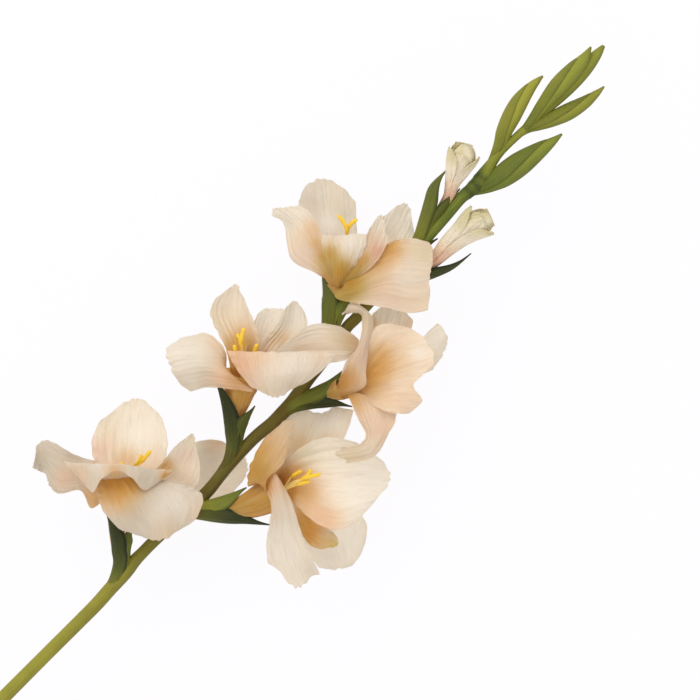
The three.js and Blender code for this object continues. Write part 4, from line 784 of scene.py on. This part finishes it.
def rolled_grid(path, facing, spread, nu, nv, reach=1.0, narrow=1.6, flat=1.0, ribs=0.0, blunt=0.03):
    """A blade rolled round a path of x y z radius up to a reach of it, narrowing to its tip.

    Its half angle is spread sqrt(max(1 - u^narrow, blunt)) about facing. Ribs cos(26 v) (1 - u^3) is added
    to its radius, and flat is its height as a share of its width.
    """
    read = line(path)
    u, v = np.meshgrid(np.linspace(0, 1, nu), np.linspace(-1, 1, nv), indexing="ij")
    s = np.linspace(0, reach, nu)
    half = np.radians(spread) * np.sqrt(np.maximum(1 - u**narrow, blunt))
    a = np.radians(facing) + half * v
    r = read(s)[:, 3:4] + ribs * np.cos(26 * v) * (1 - u**3)
    return ringed(read, s, r, a, flat), u, v


def tube_grid(path, nu, nv, flat=1.0, shape=None):
    """A tube along a path of x y z radius; shape(u, angle) multiplies its radius and flat its height."""
    read = line(path)
    s = np.linspace(0, 1, nu)
    u, a = np.meshgrid(s, np.linspace(0, 2 * np.pi, nv, endpoint=False), indexing="ij")
    r = read(s)[:, 3:4] * (shape(u, a) if shape else 1)
    return ringed(read, s, r, a, flat), u, a


def placed(points):
    """Layout millimetres as the part's metres: (Rz(SHEET_TURN) p - SHEET_MIDDLE) / 1000."""
    c, s = np.cos(SHEET_TURN), np.sin(SHEET_TURN)
    x, y, z = np.moveaxis(points, -1, 0)
    return np.stack([c * x - s * y, s * x + c * y, z], -1) * MM - np.array(SHEET_MIDDLE) * MM


def surface(name, grid, tone, node, material, wrap=False, thick=0.0):
    """A piece from a grid of points [nu, nv]: open, or wrapped round in v with a fan closing each end.

    An open piece is given a thickness about its middle; a wrapped one is turned to face outwards.
    """
    nu, nv = grid.shape[:2]
    spans = nv if wrap else nv - 1
    i, j = np.meshgrid(np.arange(nu - 1), np.arange(spans), indexing="ij")
    k = (j + 1) % nv
    quads = np.stack([i * nv + j, (i + 1) * nv + j, (i + 1) * nv + k, i * nv + k], -1).reshape(-1, 4)
    uv = np.stack([
        np.stack([i, i + 1, i + 1, i], -1) / (nu - 1),
        np.stack([j, j, j + 1, j + 1], -1) / spans,
    ], -1).reshape(-1, 2)
    points = placed(grid.reshape(-1, 3))
    tone = tone.reshape(-1, 8)
    faces = quads.tolist()
    if wrap:
        a = np.arange(nv)
        b = (a + 1) % nv
        last = (nu - 1) * nv
        fans = np.concatenate([
            np.stack([a, b, np.full(nv, nu * nv)], -1),
            np.stack([last + b, last + a, np.full(nv, nu * nv + 1)], -1),
        ])
        v = np.stack([a, a + 1, a + 0.5], -1) / nv
        ends = np.stack([np.broadcast_to([[[0]], [[1]]], (2, nv, 3)), np.broadcast_to(v, (2, nv, 3))], -1)
        uv = np.concatenate([uv, ends.reshape(-1, 2)])
        points = np.concatenate([points, [points[:nv].mean(0)], [points[last:].mean(0)]])
        tone = np.concatenate([tone, tone[:1], tone[-1:]])
        faces += fans.tolist()
    mesh = bpy.data.meshes.new(name)
    mesh.from_pydata(points.tolist(), [], faces)
    mesh.uv_layers.new(name="run").data.foreach_set("uv", uv.ravel())
    for layer, part in (("tone", tone[:, :4]), ("tint", tone[:, 4:])):
        mesh.attributes.new(layer, "FLOAT_COLOR", "POINT").data.foreach_set("color", part.ravel())
    mesh.polygons.foreach_set("use_smooth", [True] * len(faces))
    mesh.materials.append(material)
    piece = bpy.data.objects.new(name, mesh)
    bpy.context.scene.collection.objects.link(piece)
    if thick:
        shell = piece.modifiers.new("thickness", "SOLIDIFY")
        shell.thickness = thick * MM
        shell.offset = 0
    elif volume(points, quads) < 0:
        mesh.flip_normals()
    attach(piece, "root")
    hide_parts(node)
    return piece


def volume(points, quads):
    """Six times the volume within the quads, with its sign: p0 . (p1 x p2) over the halves of each."""
    p = points - points.mean(0)
    a, b, c, d = (p[quads[:, k]] for k in range(4))
    return np.einsum("ij,ij->", a, np.cross(b, c)) + np.einsum("ij,ij->", a, np.cross(c, d))


def shades(shape, *layers):
    """Colour shares [..., 8] from up to eight layers, clipped to 0..1."""
    out = np.zeros((*shape, 8))
    for k, layer in enumerate(layers):
        out[..., k] = np.clip(layer, 0, 1)
    return out


class Value:
    """An output of a node that takes part in sums: each operator adds one Math node."""

    def __init__(self, nodes, socket):
        self.nodes = nodes
        self.socket = socket

    def math(self, operation, *others):
        """One Math node on the values given."""
        return self.nodes.add("ShaderNodeMath", {"operation": operation}, *others)

    def __add__(self, other):
        return self.math("ADD", self, other)

    def __sub__(self, other):
        return self.math("SUBTRACT", self, other)

    def __mul__(self, other):
        return self.math("MULTIPLY", self, other)

    def __rsub__(self, other):
        return self.math("SUBTRACT", other, self)

    __radd__ = __add__
    __rmul__ = __mul__

    def size(self):
        """The value without its sign."""
        return self.math("ABSOLUTE", self)

    def held(self):
        """The value held within 0 to 1."""
        return self.nodes.add("ShaderNodeMath", {"operation": "ADD", "use_clamp": True}, self, 0.0)


class Nodes:
    """The nodes of one material."""

    def __init__(self, name):
        self.material = bpy.data.materials.new(name)
        self.material.use_nodes = True
        self.tree = self.material.node_tree
        self.tree.nodes.clear()

    def add(self, kind, settings=None, *values, out=0, **named):
        """One node: its settings, then a number, colour or link for each input by place or by name."""
        node = self.tree.nodes.new(kind)
        for key, value in (settings or {}).items():
            setattr(node, key, value)
        for key, value in [*enumerate(values), *named.items()]:
            socket = node.inputs[key.replace("_", " ") if isinstance(key, str) else key]
            if isinstance(value, Value):
                self.tree.links.new(value.socket, socket)
            elif value is not None:
                socket.default_value = value
        return Value(self, node.outputs[out]) if node.outputs else None

    def mix(self, share, a, b):
        """Colour a to colour b by a share."""
        unused = [None] * 5
        return self.add("ShaderNodeMix", {"data_type": "RGBA"}, share, *unused, a, b, out=2)

    def eyed(self, share):
        """A share of a deep colour that looks even to the eye: 1 - (1 - share)^2."""
        left = 1.0 - share.held()
        return 1.0 - left * left

    def vector(self, x, y, z):
        """A place from its three parts."""
        return self.add("ShaderNodeCombineXYZ", None, x, y, z)

    def run(self):
        """The piece's own u and v."""
        uv = self.add("ShaderNodeUVMap", {"uv_map": "run"})
        parts = self.add("ShaderNodeSeparateXYZ", None, uv).socket.node.outputs
        return [Value(self, part) for part in parts[:2]]

    def layers(self, name):
        """The four layers of a colour attribute of the piece."""
        tone = self.add("ShaderNodeAttribute", {"attribute_name": name})
        parts = self.add("ShaderNodeSeparateColor", None, tone).socket.node.outputs
        return [Value(self, part) for part in (*parts, tone.socket.node.outputs["Alpha"])]

    def noise(self, vector, scale, detail=2.0, rough=0.5):
        """Soft noise about 0.5 at a place."""
        return self.add("ShaderNodeTexNoise", None, vector, None, scale, detail, rough)

    def close(self, shader):
        """The material, with its surface set to a shader."""
        self.add("ShaderNodeOutputMaterial", None, shader)
        return self.material


def petal_material(name, base, peach, sheer):
    """Petal flesh: base to peach, gold, pink, lime, painted shade and white with painted light by tone and
    tint, a little see-through.

    Gold and lime are laid on by eyed shares, 1 - (1 - x)^2. Veins and fine lines are noises stretched along
    u, and painted crease shade lies on the narrow bands where a broader one passes its middle value.
    """
    n = Nodes(name)
    u, v = n.run()
    warm, gold, pink, lime = n.layers("tone")
    painted_shade, white_and_painted_light, *_ = n.layers("tint")
    place = n.add("ShaderNodeTexCoord", None, out=3)
    cloud = n.noise(place, 60.0, 3.0)
    veins = n.noise(n.vector(u * 1.6, v * 42.0, cloud * 0.6), 2.0, 3.0, 0.6)
    fine = n.noise(n.vector(u * 3.0, v * 130.0, 4.0), 2.0, 2.0, 0.6)
    broad = n.noise(n.vector(u * 2.2, v * 11.0, cloud * 0.5), 2.0, 2.0, 0.5)
    vein = ((veins - 0.5) * 3.0 + 0.5).held()
    line = ((fine - 0.5) * 3.2 + 0.5).held()
    crease_shade = (1.0 - (broad - 0.5).size() * 30.0).held()
    colour = n.mix(cloud * 0.6, linear(base), linear(IVORY))
    # painted shade: the grey tan laid where a petal lies in shade
    colour = n.mix((painted_shade * (0.7 + cloud * 0.6)).held(), colour, linear(PAINTED_SHADE))
    colour = n.mix((warm * (0.75 + vein * 0.5)).held(), colour, linear(peach))
    colour = n.mix((pink * (0.7 + vein * 0.5)).held(), colour, linear(PINK))
    colour = n.mix(n.eyed(gold * (0.65 + vein * 0.4 + line * 0.3)), colour, linear(GOLD))
    colour = n.mix(n.eyed(lime * (0.75 + vein * 0.5)), colour, linear(LIME))
    # white marks: the petal's own white, and painted light on petals shaded by those above them
    colour = n.mix((white_and_painted_light * (0.5 + line * 0.5)).held(), colour, linear(WHITE_AND_PAINTED_LIGHT))
    colour = n.mix((vein * (0.06 + warm * 0.14)).held(), colour, linear(VEIN))
    colour = n.mix((vein * (gold + lime) * 0.3).held(), colour, linear(VEIN_GOLD))
    # painted shade of creases, laid on the narrow bands
    colour = n.mix(crease_shade * 0.22, colour, linear(CREASE_SHADE))
    colour = n.mix(line * 0.2, colour, linear(SHEEN))
    skin = n.noise(place, 420.0, 2.0)
    bump = n.add(
        "ShaderNodeBump", None, Strength=0.7, Distance=0.0008,
        Height=veins * 0.8 + fine * 0.4 + skin * 0.25 + broad * 0.8,
    )
    flesh = n.add(
        "ShaderNodeBsdfPrincipled", None,
        Base_Color=colour, Roughness=0.55 + cloud * 0.15, Specular_IOR_Level=0.22, Normal=bump,
    )
    through = n.add("ShaderNodeBsdfTranslucent", None, linear(THROUGH), bump)
    glow = n.add("ShaderNodeBsdfTranslucent", None, linear(GLOW), bump)
    lit = n.add("ShaderNodeMixShader", None, (sheer - gold * 0.1 - painted_shade * 0.25).held(), flesh, through)
    return n.close(n.add("ShaderNodeMixShader", None, ((gold + lime * 0.6) * sheer).held(), lit, glow))


def green_material():
    """Stem, bracts and green buds: olive, turned fresh green, pale, near black or brown by the tone.

    Long streaks follow u on the narrow v grain, with small clouds and a few brown flecks.
    """
    n = Nodes("green skin")
    u, v = n.run()
    dark, pale, brown, fresh = n.layers("tone")
    length, *_ = n.layers("tint")
    place = n.add("ShaderNodeTexCoord", None, out=3)
    cloud = n.noise(place, 110.0, 3.0)
    patch = n.noise(place, 38.0, 2.0)
    streaks = n.noise(n.vector(u * (1.5 + length * 24.0), v * 34.0, 2.0), 1.6, 3.0, 0.65)
    streak = ((streaks - 0.5) * 3.0 + 0.5).held()
    fleck = ((n.noise(place, 700.0, 2.0) - 0.7) * 9.0).held()
    colour = n.mix((fresh * (0.75 + cloud * 0.5)).held(), linear(OLIVE), linear(FRESH))
    colour = n.mix((pale * (0.6 + cloud * 0.7)).held(), colour, linear(LEAF_PALE))
    colour = n.mix(n.eyed(dark + (patch - 0.5) * 0.2 + (cloud - 0.5) * 0.18), colour, linear(LEAF_DARK))
    colour = n.mix((streak * (0.3 - dark * 0.3)).held(), colour, linear(STREAK))
    colour = n.mix((brown * (0.5 + cloud)).held(), colour, linear(BROWN))
    colour = n.mix(fleck * 0.2, colour, linear(FLECK))
    bump = n.add("ShaderNodeBump", None, Strength=0.5, Distance=0.0006, Height=streaks + cloud * 0.4)
    flesh = n.add(
        "ShaderNodeBsdfPrincipled", None,
        Base_Color=colour, Roughness=0.5 + streak * 0.2, Specular_IOR_Level=0.25, Normal=bump,
    )
    return n.close(flesh)


def stamen_material():
    """Stamens: pollen yellow with a grainy surface."""
    n = Nodes("pollen")
    pale, *_ = n.layers("tone")
    place = n.add("ShaderNodeTexCoord", None, out=3)
    grain = n.noise(place, 1400.0, 2.0)
    colour = n.mix(grain, linear(POLLEN), linear(POLLEN_LIGHT))
    colour = n.mix(pale, colour, linear(COLUMN_PALE))
    bump = n.add("ShaderNodeBump", None, Strength=0.4, Distance=0.0003, Height=grain)
    rough = 0.5 + grain * 0.2
    flesh = n.add("ShaderNodeBsdfPrincipled", None, Base_Color=colour, Roughness=rough, Normal=bump)
    return n.close(flesh)


def floor_material():
    """A pale table with a faint grain, bright enough to leave only a weak shadow."""
    n = Nodes("table")
    place = n.add("ShaderNodeTexCoord", None, out=3)
    grain = n.noise(place, 900.0, 3.0)
    colour = n.mix(grain * 0.3, linear(FLOOR), linear(FLOOR_GRAIN))
    flesh = n.add(
        "ShaderNodeBsdfPrincipled", None, Base_Color=(0.05, 0.05, 0.05, 1), Roughness=0.7 + grain * 0.1,
        Emission_Color=colour, Emission_Strength=FLOOR_GLOW,
    )
    return n.close(flesh)


def marked(spots, grid):
    """A petal's soft round marks, summed by layer: amount exp(-d^2 / size^2) about x y on the sheet."""
    layers = {kind: np.zeros(grid.shape[:2]) for kind in ("peach", "gold", "pink", "lime", "painted_shade", "white_and_painted_light")}
    for x, y, size, kind, amount in spots:
        layers[kind] += amount * np.exp(-((grid[..., 0] - x) ** 2 + (grid[..., 1] - y) ** 2) / size**2)
    return layers


def build_petals(name, bloom, material):
    """The petals of a bloom: gold within 6 mm of its throat, peach within 17 mm and at the edge."""
    for number, (petal, spots) in enumerate(zip(bloom["tepals"], MARKS[name], strict=True), 1):
        grid, u, _, edge = petal_grid(bloom, petal, *PETAL_GRID)
        away = np.linalg.norm(grid - np.array(bloom["throat"]), axis=-1) - bloom["ring"]
        layer = marked(spots, grid)
        gold = 0.8 * (1 - ease((away + 3) / 9)) + layer["gold"]
        warm = 0.8 * (1 - ease((away + 1) / 18)) + layer["peach"] + 0.2 * ease((edge - 0.93) / 0.07)
        tone = shades(u.shape, warm, gold, layer["pink"], layer["lime"], layer["painted_shade"], layer["white_and_painted_light"])
        surface(f"{name}_petal_{number}", grid, tone, name, material, thick=PETAL_THICK)


def build_funnel(name, bloom, material):
    """The funnel under the throat, from a radius of 2.3 to ring + 0.5.

    Its pleats, 1 + 0.03 u cos(6 a + 3 u) + 0.01 u cos(17 a), deepen upwards.
    """
    def shape(u, a):
        return 1 + 0.03 * u * np.cos(6 * a + 3 * u) + 0.01 * u * np.cos(17 * a)
    ring = bloom["ring"]
    radius = [
        FUNNEL_FOOT[0], max(FUNNEL_FOOT[1], FUNNEL_SHARE[0] * ring),
        FUNNEL_SHARE[1] * ring, ring + FUNNEL_LIP,
    ]
    path = [[*p, r] for p, r in zip([*bloom["tube"], bloom["throat"]], radius)]
    grid, u, a = tube_grid(path, *FUNNEL_GRID, shape=shape)
    pleats = 0.5 + 0.5 * np.cos(17 * a + 2 * np.sin(5 * a))
    wander = 0.5 + 0.5 * np.sin(3 * a + 4 * u)
    lime = (0.8 - 0.5 * u) * (0.4 + 0.6 * wander)
    gold = 0.5 + 0.4 * (1 - pleats)
    tone = shades(u.shape, 0.7 + 0 * u, gold, 0.2 * (1 - wander), lime)
    grid = np.concatenate([grid, grid[:, :1]], axis=1)
    tone = np.concatenate([tone, tone[:, :1]], axis=1)
    surface(f"{name}_funnel", grid, tone, name, material, thick=PETAL_THICK)


def build_stamens(name, bloom, material):
    """The column in a funnel and the threads on it, each thicker from 0.72 to 0.97 of its length."""
    axis = unit(np.array(bloom["axis"], float))
    throat = np.array(bloom["throat"], float)
    column = [[*(throat + up * axis), radius] for up, radius in COLUMN]
    grid, u, _ = tube_grid(column, *COLUMN_GRID)
    tone = shades(u.shape, 0.3 + 0 * u)
    node = name.replace("bloom", "stamens")
    surface(f"{node}_column", grid, tone, node, material, wrap=True)
    for number, points in enumerate(STAMENS[name], 1):
        path = np.array([column[1][:3], *points], float)
        read = line(path)
        s = np.linspace(0, 1, 48)
        profile = 0.45 + 0.55 * ease((s - 0.72) / 0.06) * (1 - ease((s - 0.97) / 0.03))
        rows = np.concatenate([read(s)[:, :3], profile[:, None]], 1)
        grid, u, _ = tube_grid(rows, *THREAD_GRID)
        tone = shades(u.shape, 0.4 - 0.4 * ease((u - 0.62) / 0.1))
        surface(f"{node}_thread_{number}", grid, tone, node, material, wrap=True)


def green_tone(grid):
    """The shares of dark, fresh green and brown at each point, by its place along x."""
    return [np.interp(grid[..., 0], GREEN_RUN["x"], GREEN_RUN[kind]) for kind in ("dark", "fresh", "brown")]


def build_stem(material):
    """The stem: twelve low ribs and the rings of its collar; its colour holds painted shade."""
    def shape(u, a):
        rings = sum(np.exp(-(((u - c) / 0.0022) ** 2)) for c in COLLAR_RINGS)
        return 1 + STEM_RIB * np.cos(12 * a + 9 * u) + STEM_RING * rings * (1 + 0.5 * np.sin(3 * a))
    grid, u, a = tube_grid(STEM, *STALK_GRID, shape=shape)
    dark, fresh, brown = green_tone(grid)
    # painted shade: lighter on top, darker underneath and on the stem's right-hand side
    dark = dark - 0.1 * np.sin(a) + 0.08 * np.cos(a)
    rings = sum(np.exp(-(((u - c - 0.003) / 0.003) ** 2)) for c in COLLAR_RINGS)
    tone = shades(u.shape, dark + 0.3 * rings, 0 * u, brown, fresh, 1 + 0 * u)
    surface("stem_stalk", grid, tone, "stem", material, wrap=True)


def build_bracts(material):
    """The bracts: the stem's colour at the foot, then dark to pale, darker along the outer edges."""
    for name, bract in BRACTS.items():
        grid, u, v = rolled_grid(bract["path"], bract["facing"], bract["spread"], *BRACT_GRID, ribs=0.1)
        stem_dark, stem_fresh, stem_brown = green_tone(grid)
        blend = ease((u - 0.06) / 0.3)
        rim = ease((np.abs(v) - 0.7) / 0.3)
        dark = bract["dark"] * (0.5 + 0.5 * ease((u - 0.2) / 0.5)) + 0.3 * rim * ease(u * 2)
        pale = (1 - bract["dark"]) * 0.5 * (1 - rim) * (1 - ease((u - 0.3) / 0.5))
        tone = shades(
            u.shape,
            stem_dark * (1 - blend) + dark * blend,
            pale * blend,
            stem_brown * (1 - blend) + 0.3 * ease((u - 0.85) / 0.15),
            stem_fresh * (1 - blend) + 0.75 * blend,
        )
        surface(f"stem_{name}", grid, tone, "stem", material, thick=BRACT_THICK)


def build_green_buds(material):
    """The closed buds, each with a bract folded over it: fresh green at the foot, olive towards the tip,
    with painted shade.
    """
    def shape(u, a):
        return 1 + BUD_GROOVE * np.cos(22 * a)
    for green, (name, path) in zip(BUD_FRESH, GREEN_BUDS.items(), strict=True):
        grid, u, a = tube_grid(path, *GREEN_BUD_GRID, flat=BUD_FLAT, shape=shape)
        # painted shade: paler on top, darker underneath and on the bud's right-hand side
        dark = 0.16 - 0.14 * np.sin(a) + 0.12 * np.cos(a)
        pale = 0.2 * (1 - green) + 0.15 * np.sin(a)
        tone = shades(u.shape, dark, pale, 0.3 * ease((u - 0.9) / 0.1), green + 0.3 * (1 - ease(u / 0.4)))
        surface(f"stem_{name}", grid, tone, "stem", material, wrap=True)
        wide = [[*p[:3], p[3] + 0.05] for p in path]
        grid, u, v = rolled_grid(
            wide, 150, 95, *BUD_BRACT_GRID, reach=0.84, narrow=1.4, flat=0.83, ribs=0.04,
        )
        dark = 0.16 - 0.06 * v + 0.15 * ease((np.abs(v) - 0.86) / 0.14)
        pale = 0.2 * (1 - green)
        tone = shades(u.shape, dark, pale, 0.3 * ease((u - 0.9) / 0.1), green + 0.3 * (1 - ease(u / 0.4)))
        surface(f"stem_{name}_bract", grid, tone, "stem", material, thick=BUD_BRACT_THICK)


def build_opening_buds(material):
    """The opening buds: a rounded core and furled petals, pink at the foot, lime and crimped at the end."""
    def shape(u, a):
        return 1 + 0.07 * u * np.cos(3 * a + 6 * u)
    for name, bud in OPENING_BUDS.items():
        core = [[*p, r - CORE_INSET] for p, r in zip(bud["path"], bud["core"])]
        grid, u, a = tube_grid(core, *CORE_GRID, flat=BUD_FLAT, shape=shape)
        lime = 0.3 + 0.15 * np.cos(3 * a)
        tone = shades(u.shape, 0.1 + 0 * u, 0 * u, 0 * u, lime, 0 * u, 0.3 + 0 * u)
        surface(f"{name}_core", grid, tone, name, material, wrap=True)
        for number, furl in enumerate(bud["furls"], 1):
            path = [[*p, r] for p, r in zip(bud["path"], furl["radius"])]
            grid, u, v = rolled_grid(
                path, furl["facing"], furl["spread"], *FURL_GRID,
                reach=furl["reach"], narrow=FURL_NARROW, flat=BUD_FLAT, blunt=FURL_BLUNT,
            )
            end = ease((u - 0.8) * 5)
            wave = 0.45 * ease((u - 0.4) * 2) * np.cos(2.3 * np.pi * v + 2 * u + number)
            crimp = 0.16 * end * np.cos(17 * v + number)
            grid[..., 2] += wave + crimp + 0.08 * end * np.cos(29 * v + 3 * number)
            pink = 0.9 * (1 - ease((u - 0.1) / 0.5))
            warm = 0.75 * (1 - ease(u / 0.7)) + 0.12
            lime = 0.4 * ease((u - 0.6) * 3) * (0.6 + 0.4 * np.cos(3 * v + number))
            tone = shades(u.shape, warm, 0 * u, pink, lime, 0 * u, 0.15 * ease((u - 0.4) * 3))
            surface(f"{name}_petal_{number}", grid, tone, name, material, thick=PETAL_THICK)


def build_floor(material):
    """The table: a wide sheet just under the lowest petal, its grain left to the material."""
    row = FLOOR_CELLS + 1
    run = np.linspace(-FLOOR_HALF, FLOOR_HALF, row)
    x, y = np.meshgrid(run, run, indexing="ij")
    mesh = bpy.data.meshes.new("table")
    cells = np.arange(FLOOR_CELLS)
    quads = (cells[:, None] * row + cells[None]).reshape(-1, 1) + np.array([[0, row, row + 1, 1]])
    mesh.from_pydata(np.stack([x, y, 0 * x - FLOOR_DROP], -1).reshape(-1, 3).tolist(), [], quads.tolist())
    mesh.materials.append(material)
    floor = bpy.data.objects.new("table", mesh)
    bpy.context.scene.collection.objects.link(floor)


def build_lights():
    """A wide soft lamp high on the upper left of the picture, and pale light from all round."""
    scene = bpy.context.scene
    world = bpy.data.worlds.new("room")
    world.use_nodes = True
    back = world.node_tree.nodes["Background"]
    back.inputs["Color"].default_value = ROOM_COLOUR
    back.inputs["Strength"].default_value = ROOM_STRENGTH
    scene.world = world
    scene.view_settings.view_transform = "Standard"
    lamp = bpy.data.lights.new("window", "AREA")
    lamp.shape = "DISK"
    lamp.size = LAMP_WIDTH
    lamp.energy = LAMP_POWER
    lamp.color = LAMP_COLOUR
    place = placed(np.array(LAMP_PLACE))
    aim = placed(np.array(LAMP_AIM))
    made = bpy.data.objects.new("window", lamp)
    made.location = place
    made.rotation_euler = mathutils.Vector(aim - place).to_track_quat("-Z", "Y").to_euler()
    scene.collection.objects.link(made)


def build_camera():
    """A camera straight above the sheet's middle that sees VIEW_WIDTH of it, with the sheet's y up."""
    camera = bpy.data.cameras.new("camera")
    camera.sensor_width = SENSOR
    camera.lens = SENSOR * VIEW_DISTANCE / VIEW_WIDTH
    camera.clip_end = VIEW_END
    made = bpy.data.objects.new("camera", camera)
    made.location = placed(np.array([*VIEW_MIDDLE, VIEW_LEVEL + VIEW_DISTANCE], float))
    made.rotation_euler = (0, 0, SHEET_TURN)
    bpy.context.scene.collection.objects.link(made)
    bpy.context.scene.camera = made


petal = petal_material("petal flesh", CREAM, PEACH, PETAL_SHEER)
bud = petal_material("bud flesh", BUD_CREAM, BUD_PEACH, BUD_SHEER)
green = green_material()
pollen = stamen_material()
for name, bloom in BLOOMS.items():
    build_petals(name, bloom, petal)
    build_funnel(name, bloom, petal)
    build_stamens(name, bloom, pollen)
build_stem(green)
build_bracts(green)
build_green_buds(green)
build_opening_buds(bud)
build_floor(floor_material())
build_lights()
build_camera()
